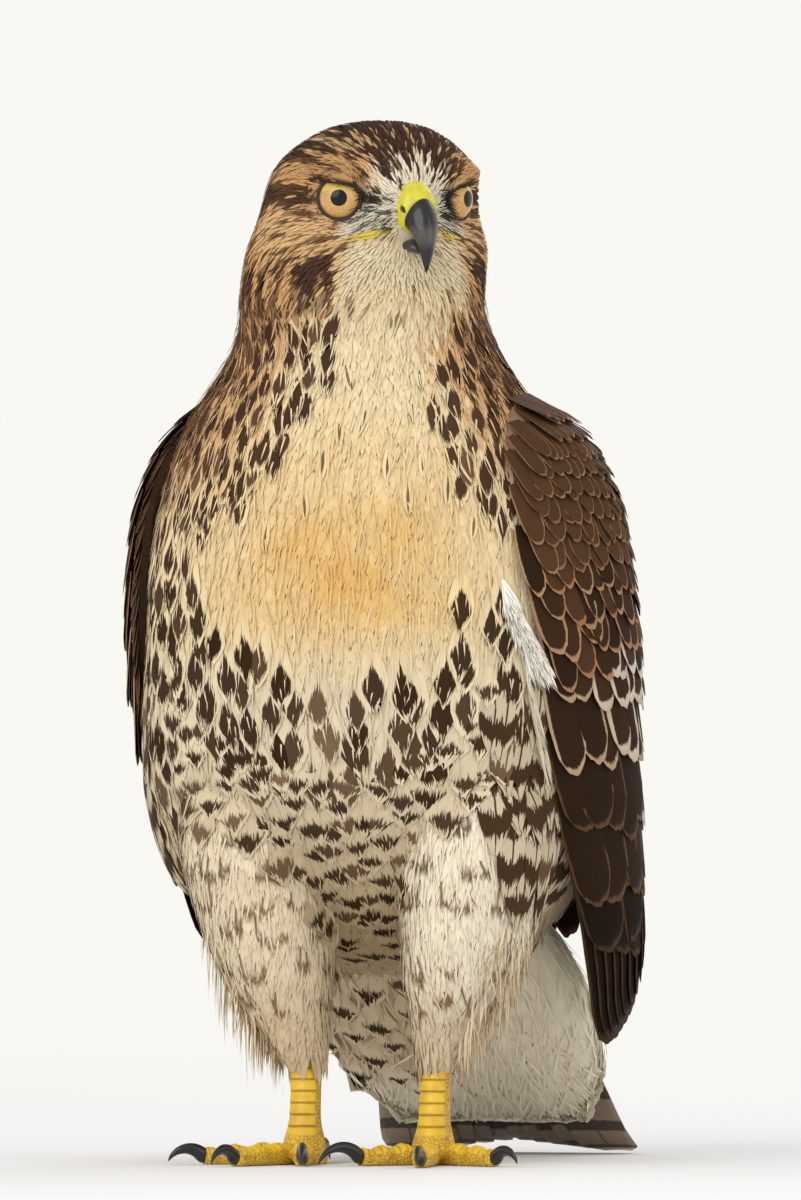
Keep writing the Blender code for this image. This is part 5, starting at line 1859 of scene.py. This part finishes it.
def wing_look(tier, share, height, rng):
    """Dark brown feathers with thin pale edges, redder in places, whiter on the outer coverts."""
    count = len(share)
    edge = blend(srgb(164, 130, 98), RUFOUS, 0.4 * rng.random(count))
    dark = blend(WING_DARK, WING_DEEP, rng.random(count))
    inside = 0.80 + 0.08 * rng.random(count)
    if tier == "lesser":
        dark = blend(dark, srgb(86, 60, 40), 0.7)
        edge = blend(edge, srgb(112, 82, 60), 0.35 + 0.5 * rng.random(count))
        inside = inside + 0.05
    if tier == "median":
        reddish = (rng.random(count) < 0.28) * (share < 0.55)
        edge = blend(edge, srgb(158, 104, 70), 0.7 * reddish)
        dark = blend(dark, srgb(96, 66, 48), 0.4 * reddish)
    if tier in ("median", "greater 1", "greater 2", "secondaries 1"):
        outer = (share > 0.12) & (share < 0.60) & (height < 0.262)
        pale = outer & (rng.random(count) < 0.75)
        edge = blend(edge, PALE_PATCH, pale * rng.uniform(0.45, 0.85, count))
        inside = np.where(pale, 0.72, inside)
    if tier.startswith("greater"):
        edge = blend(edge, srgb(206, 184, 152), 0.5)
        inside = np.minimum(inside, 0.84)
    if tier.startswith("secondaries") or tier == "primaries":
        plain = (share < 0.3) * 1.0 if tier == "secondaries 1" else np.ones(count)
        deep = tier in ("primaries", "secondaries 3")
        edge = blend(edge, srgb(58, 42, 29) if deep else srgb(92, 66, 46), 0.9 * plain)
        dark = blend(dark, srgb(25, 17, 10) if deep else WING_DEEP, 0.9 * plain)
        inside = np.where(plain > 0, 0.90, inside)
    return edge, dark, inside[:, None] * np.array((0, 0, 0, 1))


def wing_vanes(tier, side, share, height, slant, length, half_width, rises, vane, rng, patch=None):
    """Feathers of one kind on the hull, each with its own place, slant and size."""
    rows, columns, *shape = vane
    line, lift = hull_line(side, wing_turn(side, share, height), height, slant, length, rows, rises)
    points = vane_grid(line, half_width, lift, columns, rng, FLIGHT_PROFILE, *shape)
    look = wing_look(tier, share, height, rng)
    if patch is None:
        return coat(points, line[1], look, round_spots(line[0][:, 0]))
    level = 0.3 if tier == "primaries" else 0.05 + 0.9 * height / 0.36
    spots = np.stack(np.broadcast_arrays(0.03 + 0.94 * np.clip(share, 0, 1), level), -1)
    return coat(points, line[1], look, spots, patch)


def wing_tier(tier_row, side, rng):
    """One row of overlapping feathers on the wing's hull."""
    tier, count, first, last, front, back, length, half_width, slants, rise = tier_row
    small = half_width < SMALL_HALF_WIDTH
    step = np.linspace(0, 1, count)
    share = first + (last - first) * step + rng.normal(0, 0.10 / count, count)
    height = front + (back - front) * step + rng.normal(0, 0.12 * half_width, count)
    turning = slants[0] + (slants[1] - slants[0]) * step
    slant = np.radians(turning + rng.normal(0, 3.0 if small else 1.6, count))
    lengths = length * rng.uniform(0.92, 1.08, count)
    flat = 1.0 if small and side < 0 else 0.0
    root = rise[0] + 0.0010 * flat + rng.normal(0, 0.0002, count)
    rises = (root, rise[1] - 0.0022 * flat + rng.normal(0, 0.0003, count))
    widths = half_width * rng.uniform(0.92, 1.08, count)
    vane, patch = (SMALL_VANE, 0.004) if small else (LARGE_VANE, 0.012)
    return wing_vanes(tier, side, share, height, slant, lengths, widths, rises, vane, rng, patch)


def primaries(side, rng):
    """The long flight feathers that make the wing's tip."""
    index = np.arange(PRIMARIES)
    step = index / (PRIMARIES - 1)
    height = np.full(PRIMARIES, PRIMARY_ROOT)
    rises = (-0.0066 + 0.0006 * index, -0.0056 + 0.0007 * index)
    length = PRIMARY_LENGTH - 0.046 * step**1.2
    slant = np.radians(15 - 19 * step)
    widths = np.full(PRIMARIES, PRIMARY_HALF_WIDTH)
    share = 0.05 + 0.46 * step
    return wing_vanes("primaries", side, share, height, slant, length, widths, rises, PRIMARY_VANE, rng, 0.02)


def marginal_coverts(side, rng):
    """Small feathers round the front edge of the wing."""
    levels = np.arange(*MARGIN_HEIGHTS)
    height, share = np.meshgrid(levels, MARGIN_SHARES, indexing="ij")
    share = share + 0.008 * (np.arange(len(levels)) % 2)[:, None]
    height, share = height.ravel(), share.ravel()
    count = len(height)
    height = height + rng.normal(0, 0.0006, count)
    share = share + rng.normal(0, 0.0015, count)
    down = (MARGIN_HEIGHTS[0] - height) / 0.16
    slant = np.radians(rng.normal(4, 3, count))
    rises = (-0.0052 + rng.normal(0, 0.0002, count), -0.0030 + rng.normal(0, 0.0003, count))
    length = 0.014 + 0.012 * down
    half_width = 0.0036 + 0.0020 * down
    return wing_vanes("lesser", side, share, height, slant, length, half_width, rises, SMALL_VANE, rng)


def make_wing_base(word, side, finish):
    """The folded arm, which the wing's feathers lie on."""
    rows, columns = WING_BASE_POINTS
    shares = np.linspace(0.03, 0.97, columns)
    rings = []
    for height in np.linspace(*WING_BASE_ENDS, rows):
        closeness = min(1.0, (0.342 - height) / 0.03, (height - 0.100) / 0.04)
        angle = wing_turn(side, shares, height)
        swell = np.sin(math.pi * shares) ** 0.5 * closeness
        outer = hull_place(side, angle, np.full(columns, height), -0.0052 + 0.0030 * swell)
        inner = hull_place(side, angle, np.full(columns, height), -0.0064 - 0.0090 * swell)
        rings.append(np.concatenate([outer, inner[::-1]]))
    points, faces = loft(rings)
    ground = np.tile((*srgb(140, 110, 84), 1.0), (len(points), 1))
    solid_piece(f"wing_base_{word}", points, faces, finish, "wing_plumage", ground=ground)


def make_wing(word, side, finishes, rng):
    small = [wing_tier(row, side, rng) for row in covert_rows()]
    if side < 0:
        small.append(marginal_coverts(side, rng))
    coverts = coat_object(f"wing_coverts_{word}", small, finishes["wing"], "wing_plumage", rng, 0.35)
    large = [wing_tier(row, side, rng) for row in WING_TIERS]
    large.append(primaries(side, rng))
    flights = coat_object(f"wing_flights_{word}", large, finishes["wing"], "wing_plumage", rng, 0.15, 0.0003)
    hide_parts(f"wing_{word}")
    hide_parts(f"wing_{word}")
    make_wing_base(word, side, finishes["skin"])


# Tail

TAIL_POINTS = (26, 11)              # along and across each feather
TAIL_LENGTH = 0.2150
UPPERTAIL = 130
UPPERTAIL_HALF_WIDTH = 0.0078


def tail_vanes():
    run_share = np.linspace(0, 1, TAIL_POINTS[0])
    across = np.linspace(-1, 1, TAIL_POINTS[1])[None]
    grids, normals = [], []
    for side in (1, -1):
        for index in range(TAIL_FEATHERS // 2):
            above = VANE + TAIL_PITCH * (TAIL_FEATHERS // 2 - 1 - index)
            spread = math.radians(0.6 + 1.7 * index)
            run = run_share * (TAIL_LENGTH - 0.0016 * index)
            reach = 0.0135 * (0.30 + 0.70 * np.minimum(1.0, run_share * 2.2))
            reach = reach * (1 - 0.55 * smooth(0.93, 1.0, run_share) ** 2)
            left = side * (0.0035 + 0.0022 * index + run * math.sin(spread))
            lift = above + 0.0003 * (1 - across**2)
            runs = np.broadcast_to(run[:, None], TAIL_POINTS)
            grids.append(tail_place(left[:, None] + across * reach[:, None], runs, lift))
            normals.append(unit(tail_place(left, run, above + 0.01) - tail_place(left, run, above)))
    return np.array(grids), np.array(normals)


def make_tail(finishes, rng):
    points, normals = tail_vanes()
    points[..., 2] = np.maximum(points[..., 2], FLOOR_GAP)
    count = len(points)
    spots = np.stack([np.linspace(0.06, 0.94, count), np.full(count, 0.5)], -1)
    vanes = coat(points, normals, (TAIL_BROWN, TAIL_BAR, PLAIN), spots, 0.06)
    tail = coat_object("tail_feathers", [vanes], finishes["tail"], "tail_plumage", rng, 0.0, 0.0005)
    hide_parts("tail")


def make_uppertail(finishes, rng):
    """Brown coverts over the tail's base."""
    count, rows = UPPERTAIL, 8
    run = rng.uniform(0.000, 0.088, count)
    left = rng.uniform(-1, 1, count) * (0.030 + 0.12 * run)
    runs = run[:, None] + np.linspace(0, 1, rows)[None] * (0.030 + 0.020 * rng.random(count))[:, None]
    above = (0.0100 - 0.0300 * run)[:, None]
    lefts = left[:, None] * (1 + 1.2 * (runs - run[:, None]))
    places = tail_place(lefts, runs, above)
    normals = unit(tail_place(lefts, runs, above + 0.01) - places)
    aheads = unit(np.gradient(places, axis=1))
    lift = lift_curve(rows, -0.003, 0.0012, count)
    widths = np.full(count, UPPERTAIL_HALF_WIDTH)
    points = vane_grid((places, normals, aheads), widths, lift, 7, rng, dome=0.06, fray=0.06, ruffle=0.04)
    mark = blend(WING_DARK, RUFOUS, 0.3 * rng.random(count))
    look = (srgb(196, 170, 138), mark, np.array((0, 0, 0, 1.0)))
    coverts = coat(points, normals, look, np.stack([0.5 + left * 8, 0.1 + run * 6], -1))
    coat_object("uppertail_coverts", [coverts], finishes["wing"], "tail_plumage", rng, 0.3)


# Head parts

LID_POINTS = (72, 12)               # round the lid, and round its thickness
LID_THICK = (0.0008, 0.0007)        # half the rim's thickness: outwards, and along the eye's axis


def make_eyeball(word, side, finish):
    mesh = bpy.data.meshes.new(f"eyeball_{word}")
    shape = bmesh.new()
    bmesh.ops.create_uvsphere(shape, u_segments=72, v_segments=48, radius=1.0)
    shape.to_mesh(mesh)
    shape.free()
    local = points_of(mesh)
    axis = eye_axis(side)
    # The ball's pole looks out along the eye's axis
    turned = local[:, :1] * np.cross(axis, UP) + local[:, 1:2] * UP + local[:, 2:] * axis
    set_points(mesh, eye_centre(side) + turned * EYE_RADIUS)
    set_attribute(mesh, "iris", local)
    outward_faces(mesh)
    made = add_object(mesh.name, mesh)
    mesh.materials.append(finish)
    finish_piece(made, "eye", f"eye_{word}")


def make_lid(word, side, finish):
    around, thick = LID_POINTS
    axis = eye_axis(side)
    angle = turns(around)[:, None]
    middle = eye_centre(side) + axis * (math.sqrt(EYE_RADIUS**2 - LID_RADIUS**2) + 0.0004)
    out = np.cross(axis, UP) * np.sin(angle) + UP * np.cos(angle)
    rings = []
    for small in turns(thick):
        wide = LID_RADIUS + LID_THICK[0] * math.sin(small)
        rings.append(middle + out * wide + axis * (LID_THICK[1] * math.cos(small)))
    index = np.arange(around * thick).reshape(around, thick)
    after = np.roll(index, -1, 0)
    quads = np.stack([index, after, np.roll(after, -1, 1), np.roll(index, -1, 1)], -1).reshape(-1, 4)
    points = np.array(rings).transpose(1, 0, 2).reshape(-1, 3)
    solid_piece(f"eyelid_{word}", points, quads, finish, "head_plumage")


def bill_rings(stations, rows, columns, narrowing=0.0):
    angle = turns(columns)
    share = (1 + np.cos(angle)) / 2
    rings = []
    for ridge_forward, ridge_height, edge_forward, edge_height, wide in curve_through(stations, rows):
        left = wide * np.sin(angle) * (1 - narrowing * np.cos(angle))
        forward = edge_forward + (ridge_forward - edge_forward) * share
        height = edge_height + (ridge_height - edge_height) * share
        rings.append(head_place(left, forward, height, 0.0))
    return np.array(rings)


def nostril_depth(points):
    """1 in the middle of a nostril, 0 outside it. Each nostril is an oval that leans back."""
    depth = np.zeros(len(points))
    forward_way = head_place(0, 1, 0, 0.0) - head_place(0, 0, 0, 0.0)
    left, forward, height = NOSTRIL
    for _, side in SIDES:
        offset = points - head_place(side * left, forward, height, 0.0)
        ahead = offset @ forward_way
        along = (offset[:, 2] * 0.82 - ahead * 0.57) / 0.0026
        beside = (offset[:, 2] * 0.57 + ahead * 0.82) / 0.0013
        far = np.linalg.norm(offset, axis=1) > 0.004
        depth = np.maximum(depth, 1 - smooth(0.55, 1.0, np.hypot(along, beside) + 9 * far))
    return depth


def make_bill(cere_finish, horn_finish):
    points, faces = loft(bill_rings(CERE_SECTIONS, 40, 96))
    # Each nostril is dented in a little, and its depth also sets the painted shade, near black, of its hollow
    pit = nostril_depth(points)
    points = points + unit(head_place(0.0, 0.036, 0.4180, 0.0) - points) * (0.0022 * pit)[:, None]
    solid_piece("cere_skin", points, faces, cere_finish, "yellow_skin", "cere", pit=smooth(0.25, 0.8, pit))

    tip = head_place(0, *BILL_TIP, 0.0)
    points, faces = loft(bill_rings(UPPER_SECTIONS, 60, 72, RIDGE_NARROWING), None, tip)
    grey = (1 - smooth(0.4090, 0.4150, points[:, 2])) * smooth(0.4000, 0.4070, points[:, 2])
    solid_piece("upper_bill", points, faces, horn_finish, "dark_horn", "bill_upper", tone=0.95 - 0.55 * grey)
    points, faces = loft(bill_rings(LOWER_SECTIONS, 24, 48))
    solid_piece("lower_bill", points, faces, horn_finish, "dark_horn", "bill_lower", tone=0.6)


def make_gape(finish):
    """The soft yellow lips, thin at the corners of the mouth and fuller near the bill."""
    parts = []
    run = np.linspace(0, 1, LIP_POINTS)
    swell = np.sqrt(np.sin(math.pi * np.clip(run * 0.86 + 0.02, 0, 1)))
    for _, side in SIDES:
        for above, thick in LIPS:
            path = []
            for turn, height in MOUTH:
                path.append(head_surface(side * math.radians(turn), height + above, -0.0004))
            curve = curve_through(path, LIP_POINTS)
            parts.append(loft(rod_rings(curve, np.maximum(thick * swell, 0.0001), 12)))
    solid_piece("gape_lips", *joined(parts), finish, "yellow_skin", pit=0.0)


BRISTLES = 70
BRISTLE_TURNS = (12, 34)            # degrees round the head
BRISTLE_HEIGHTS = (0.4105, 0.4290)
BRISTLE_LENGTH = (0.0050, 0.0085)
BRISTLE_HALF_WIDTH = 0.00016
BRISTLE_DARK = srgb(40, 34, 30)


def make_bristles(finish, rng):
    """Fine dark bristles between the eyes and the bill."""
    coats = []
    count, rows = BRISTLES, 6
    widths = np.full(count, BRISTLE_HALF_WIDTH)
    for _, side in SIDES:
        turn = side * np.radians(rng.uniform(*BRISTLE_TURNS, count))
        height = rng.uniform(*BRISTLE_HEIGHTS, count)
        root = head_surface(turn, height, -0.0012)
        outer = unit(head_surface(turn, height, 0.01) - root)
        away = unit(root - head_place(0, 0.036, 0.4210))
        lean = away * 0.6 - 0.35 * UP + eye_outward(side) * 0.3 + rng.normal(0, 0.12, (count, 3))
        lean = unit(lean)
        lean = unit(lean - outer * (lean * outer).sum(1)[:, None])
        run = np.linspace(0, 1, rows)[None, :, None]
        length = rng.uniform(*BRISTLE_LENGTH, count)[:, None, None]
        places = root[:, None] + lean[:, None] * run * length
        places = places + outer[:, None] * (0.0008 + 0.0022 * np.sin(run * 2.4))
        normals = np.repeat(outer[:, None], rows, 1)
        line = (places, normals, unit(np.gradient(places, axis=1)))
        points = vane_grid(line, widths, np.zeros((count, rows)), 3, rng, LOCK_PROFILE)
        coats.append(coat(points, normals, (BRISTLE_DARK, BRISTLE_DARK, PLAIN), head_spots(root)))
    coat_object("lore_bristles", coats, finish, "head_plumage", rng, 0.5)


# Feet

TARSUS_PLATE = 0.0052
TOE_PLATE = 0.0034
TOE_POINTS = (40, 32)
SHANK_POINTS = (70, 48)
CLAW_POINTS = (34, 24)


def toe_frame(side, heading):
    foot = body_place(side * LEG_SIDE, FOOT_BACK, 0.0)
    ahead = np.array((math.sin(heading), -math.cos(heading), 0.0))
    across = np.array((math.cos(heading), math.sin(heading), 0.0))
    return foot, ahead, across


def toe_rings(side, heading, length):
    foot, ahead, across = toe_frame(side, heading)
    pads = 3 if length > 0.03 else 2
    angle = turns(TOE_POINTS[1])[:, None]
    rings = []
    for share in np.linspace(0, 1, TOE_POINTS[0]):
        swell = 1 + 0.10 * math.cos(2 * math.pi * pads * share)
        radius = TOE_RADIUS * (1.05 - 0.22 * share) * swell
        if share > 0.94:
            radius *= math.sqrt(max(0.05, 1 - ((share - 0.94) / 0.075) ** 2))
        centre = foot + ahead * (TOE_ROOT + share * length)
        centre[2] = radius * 0.86
        ring = centre + radius * (across * np.sin(angle) + UP * np.cos(angle))
        ring[:, 2] = np.maximum(ring[:, 2], 0.0)
        rings.append(ring)
    return rings


def shank_rings(side):
    rings = []
    angle = turns(SHANK_POINTS[1])
    for height in np.linspace(0.0, 0.060, SHANK_POINTS[0]):
        back, wide, deep = TARSUS(height)
        rings.append(body_place(side * LEG_SIDE + wide * np.sin(angle), back - deep * np.cos(angle), height))
    return rings


def plate_wave(place, pitch):
    """How high a plate stands at a place along a row of plates, and how near its groove is."""
    share = place / pitch % 1.0
    rise = smooth(0.0, 0.16, share) * (1 - 0.75 * share)
    groove = 1 - smooth(0.03, 0.14, np.minimum(share, 1 - share))
    return rise, groove


def shank_plates(points, side, far):
    """The broad plates up the front of the bare leg: how high, how near a groove, how much of a plate."""
    left, back, height = body_parts(points)
    middle, _, _ = TARSUS(height)
    front = unit(np.stack([left - side * LEG_SIDE, middle - back], -1))[:, 1]
    shank = smooth(0.011, 0.014, height) * smooth(0.45, 0.70, front) * (far < 0.020)
    rise, groove = plate_wave(height - 0.0010, TARSUS_PLATE)
    return 0.0008 * rise * shank, groove * shank, shank


def toe_plates(points, upward, offset, headings):
    """The same for the plates along the tops of the toes."""
    best = np.full(len(points), 1e9)
    run_best = np.zeros(len(points))
    for ahead, across in headings:
        run = offset @ ahead
        miss = np.abs(offset @ across) + np.where(run < 0, 1.0, 0.0)
        run_best = np.where(miss < best, run, run_best)
        best = np.minimum(miss, best)
    top = smooth(0.25, 0.55, upward) * smooth(0.011, 0.015, run_best) * (points[:, 2] < 0.013)
    top = top * smooth(0.006, 0.004, best)
    rise, groove = plate_wave(run_best, TOE_PLATE)
    return 0.0006 * rise * top, groove * top, top


def make_foot(word, side, finish):
    parts = [loft(shank_rings(side))]
    for _, heading, length, _ in TOES[word]:
        parts.append(loft(toe_rings(side, math.radians(heading), length)))
    made = remeshed(f"foot_{word}", parts, 0.00065, 3)
    points = points_of(made.data)
    normals = normals_of(made.data)
    offset = points - toe_frame(side, 0.0)[0]
    headings = [toe_frame(side, math.radians(toe[1]))[1:] for toe in TOES[word]]
    shank = shank_plates(points, side, np.hypot(offset[:, 0], offset[:, 1]))
    toes = toe_plates(points, normals[:, 2], offset, headings)
    points = points + normals * (shank[0] + toes[0])[:, None]
    points[:, 2] = np.maximum(points[:, 2], 0.0002)
    set_points(made.data, points)
    set_attribute(made.data, "groove", np.maximum(shank[1], toes[1]))
    set_attribute(made.data, "plate", np.maximum(shank[2], toes[2]))
    made.data.materials.append(finish)
    finish_piece(made, "yellow_skin", f"tarsus_{word}", *(f"toe_{toe[0]}_{word}" for toe in TOES[word]))


def talon_path(side, heading, toe_length, length):
    """The claw's middle line and radius, from the toe's end up and down to the floor."""
    foot, ahead, _ = toe_frame(side, heading)
    place = foot + ahead * (TOE_ROOT + toe_length + GAP) + UP * 0.0040
    steps = 7
    path = []
    for index in range(steps):
        path.append(place.copy())
        slope = math.radians(38) - math.radians(112) * index / (steps - 1)
        place = place + (ahead * math.cos(slope) + UP * math.sin(slope)) * length / (steps - 1)
    return np.array(path)


def make_talons(word, side, finish):
    rows, columns = CLAW_POINTS
    angle = turns(columns)[None, :, None]
    radius = 0.0035 * np.maximum(1 - np.linspace(0, 1, rows), 0.0) ** 0.7
    for name, heading, toe_length, length in TOES[word]:
        turn = math.radians(heading)
        path = curve_through(talon_path(side, turn, toe_length, length), rows)
        _, ahead, across = toe_frame(side, turn)
        path[0] = path[0] - ahead * 0.0012
        up = np.cross(across, unit(np.gradient(path, axis=0)))
        up = up * np.sign(up[:, 2:3] + 1e-9)
        ring = 0.8 * across[None, None] * np.sin(angle) + up[:, None] * np.cos(angle)
        rings = path[:, None] + radius[:, None, None] * ring
        rings[..., 2] = np.maximum(rings[..., 2], 0.0004)
        points, faces = loft(rings[:-1], None, rings[-1].mean(0))
        which = f"{name}_{word}"
        solid_piece(f"claw_{which}", points, faces, finish, "dark_horn", f"talon_{which}", tone=0.85)


# Stage, lights and camera

PIXEL = 0.00044                     # metres in the bird's plane for each pixel of an 801 by 1200 frame
FRAME_HEIGHT = 1200 * PIXEL
FRAME_MIDDLE = (0.0075, 0.2486)
CAMERA_FAR = 10.0
SENSOR = 36.0
STAGE_RINGS = (0.4, 1.2, 3.5, 12.0, 45.0)
STAGE_SIDES = 128
STAGE_BLEND = (0.5, 3.0)            # where the lit floor turns into the plain backdrop
BACKDROP = srgb(249, 248, 243)
FLOOR_TONE = 0.86
DAYLIGHT = (1.0, 0.985, 0.96, 1)
DAYLIGHT_POWER = 0.80
# Lamps: name, place, size, power
LAMPS = (
    ("key", (-1.6, -3.0, 2.0), 3.0, 62),
    ("fill", (2.6, -2.2, 0.9), 2.6, 18),
    ("rim", (1.2, 2.2, 1.8), 1.6, 14),
)
LIT = (0, -0.05, 0.25)


def stage_mesh():
    angle = turns(STAGE_SIDES)
    points = [(0, 0, 0)]
    for radius in STAGE_RINGS:
        points.extend(zip(radius * np.sin(angle), radius * np.cos(angle), np.zeros(STAGE_SIDES)))
    faces = []
    for ring in range(len(STAGE_RINGS)):
        outer = 1 + ring * STAGE_SIDES
        inner = outer - STAGE_SIDES
        for k in range(STAGE_SIDES):
            after = (k + 1) % STAGE_SIDES
            if ring == 0:
                faces.append((0, outer + k, outer + after))
            else:
                faces.append((inner + k, outer + k, outer + after))
                faces.append((inner + k, outer + after, inner + after))
    mesh = mesh_of("studio_floor", points, faces)
    outward_faces(mesh)
    return mesh


def make_stage():
    """A wide pale floor that is lit near the bird and runs into the plain backdrop far from it."""
    mesh = stage_mesh()
    shade = Shade("studio_white", 0.9)
    place = shade.place()
    x, y, _ = shade.split(place)
    share = (x**2.0 + y**2.0).root().step(*STAGE_BLEND)
    base = shade.mix(share, np.full(3, FLOOR_TONE), np.zeros(3))
    shade.set({"Base Color": base, "Specular IOR Level": 0.0})
    shade.set({"Emission Color": (*BACKDROP, 1), "Emission Strength": share})
    shade.bump(shade.noise(place, 40.0, 2.0), 0.02, 0.0005)
    made = add_object("studio_floor", mesh)
    mesh.materials.append(shade.material)


def add_lamp(name, place, size, power):
    light = bpy.data.lights.new(name, "AREA")
    light.shape = "DISK"
    light.size = size
    light.energy = power
    made = add_object(name, light)
    made.visible_camera = False
    made.location = place
    made.rotation_mode = "QUATERNION"
    made.rotation_quaternion = (Vector(LIT) - Vector(place)).to_track_quat("-Z", "Y")


def make_world():
    """A plain pale backdrop for the camera and soft even light for everything else."""
    world = bpy.data.worlds.new("studio")
    world.use_nodes = True
    tree = world.node_tree
    seen = tree.nodes["Background"]
    seen.inputs[0].default_value = (*BACKDROP, 1)
    lit = tree.nodes.new("ShaderNodeBackground")
    lit.inputs[0].default_value = DAYLIGHT
    lit.inputs[1].default_value = DAYLIGHT_POWER
    mix = tree.nodes.new("ShaderNodeMixShader")
    tree.links.new(tree.nodes.new("ShaderNodeLightPath").outputs["Is Camera Ray"], mix.inputs[0])
    tree.links.new(lit.outputs[0], mix.inputs[1])
    tree.links.new(seen.outputs[0], mix.inputs[2])
    tree.links.new(mix.outputs[0], tree.nodes["World Output"].inputs[0])
    bpy.context.scene.world = world
    bpy.context.scene.view_settings.view_transform = "Standard"


def make_camera():
    data = bpy.data.cameras.new("camera")
    data.sensor_fit = "AUTO"
    data.sensor_width = SENSOR
    data.lens = SENSOR * CAMERA_FAR / FRAME_HEIGHT
    made = add_object("camera", data)
    made.location = (FRAME_MIDDLE[0], BODY_Y - CAMERA_FAR, FRAME_MIDDLE[1])
    made.rotation_euler = (math.radians(90), 0, 0)
    bpy.context.scene.camera = made


def dress_skin(made, labels, finish):
    """The skin carries the same colours and markings as the feathers over it."""
    points = points_of(made.data)
    ground, mark, pattern = body_look(points, labels, np.random.default_rng(3))
    dark = np.clip(pattern[:, 3] + 0.4 * pattern[:, 2], 0, 1)
    shown = blend(ground, mark, 0.75 * dark)
    set_attribute(made.data, "ground", np.concatenate([shown, np.ones((len(points), 1))], 1))
    made.data.materials.append(finish)
    finish_piece(made, "breast_plumage", "torso", "neck", "head", "thigh_left", "thigh_right", "undertail")


def make_plumage(finishes, rng):
    made, labels = make_skin()
    dress_skin(made, labels, finishes["skin"])
    skin = Skin(made, labels)
    make_coat(skin, finishes, rng)
    make_markings(skin, finishes, rng)
    make_flank(skin, finishes, rng)
    make_tuft(finishes, rng)
    make_hanging_locks(finishes, rng)
    for word, side in SIDES:
        make_wing(word, side, finishes, rng)
    make_tail(finishes, rng)
    make_uppertail(finishes, rng)


# Finishes of the bare parts: their colours, roughness and, for the lids, the grain's scale
LID_SKIN = (srgb(34, 31, 28), 0.55, 900.0)
CERE_YELLOW = (srgb(212, 204, 52), srgb(190, 178, 40), 0.38)
LIP_YELLOW = (srgb(212, 190, 62), srgb(190, 150, 52), 0.4)
BILL_HORN = (srgb(26, 25, 26), srgb(98, 93, 90), 0.3)
CLAW_HORN = (srgb(26, 28, 30), srgb(70, 70, 72), 0.22)


def make_bare_parts(finishes, rng):
    eye = eye_material()
    lid = plain_material("lid_skin", *LID_SKIN)
    for word, side in SIDES:
        make_eyeball(word, side, eye)
        make_lid(word, side, lid)
    cere = soft_yellow_material("cere_yellow", *CERE_YELLOW)
    lips = soft_yellow_material("gape_yellow", *LIP_YELLOW)
    make_bill(cere, horn_material("bill_horn", *BILL_HORN))
    make_gape(lips)
    make_bristles(finishes["head"], rng)
    scales = scale_material()
    claws = horn_material("claw_horn", *CLAW_HORN)
    for word, side in SIDES:
        make_foot(word, side, scales)
        make_talons(word, side, claws)


def main():
    rng = np.random.default_rng(20)
    make_camera()
    make_stage()
    for lamp in LAMPS:
        add_lamp(*lamp)
    make_world()
    finishes = {
        "head": plumage_material("head_vane", 0.80, 0.0),
        "soft": plumage_material("breast_vane", 0.88, 0.0, True),
        "down": plumage_material("down_vane", 0.92, 0.02, True),
        "wing": plumage_material("wing_vane", 0.66, 0.0),
        "tail": tail_material(),
        "skin": skin_material(),
    }
    make_plumage(finishes, rng)
    make_bare_parts(finishes, rng)


main()
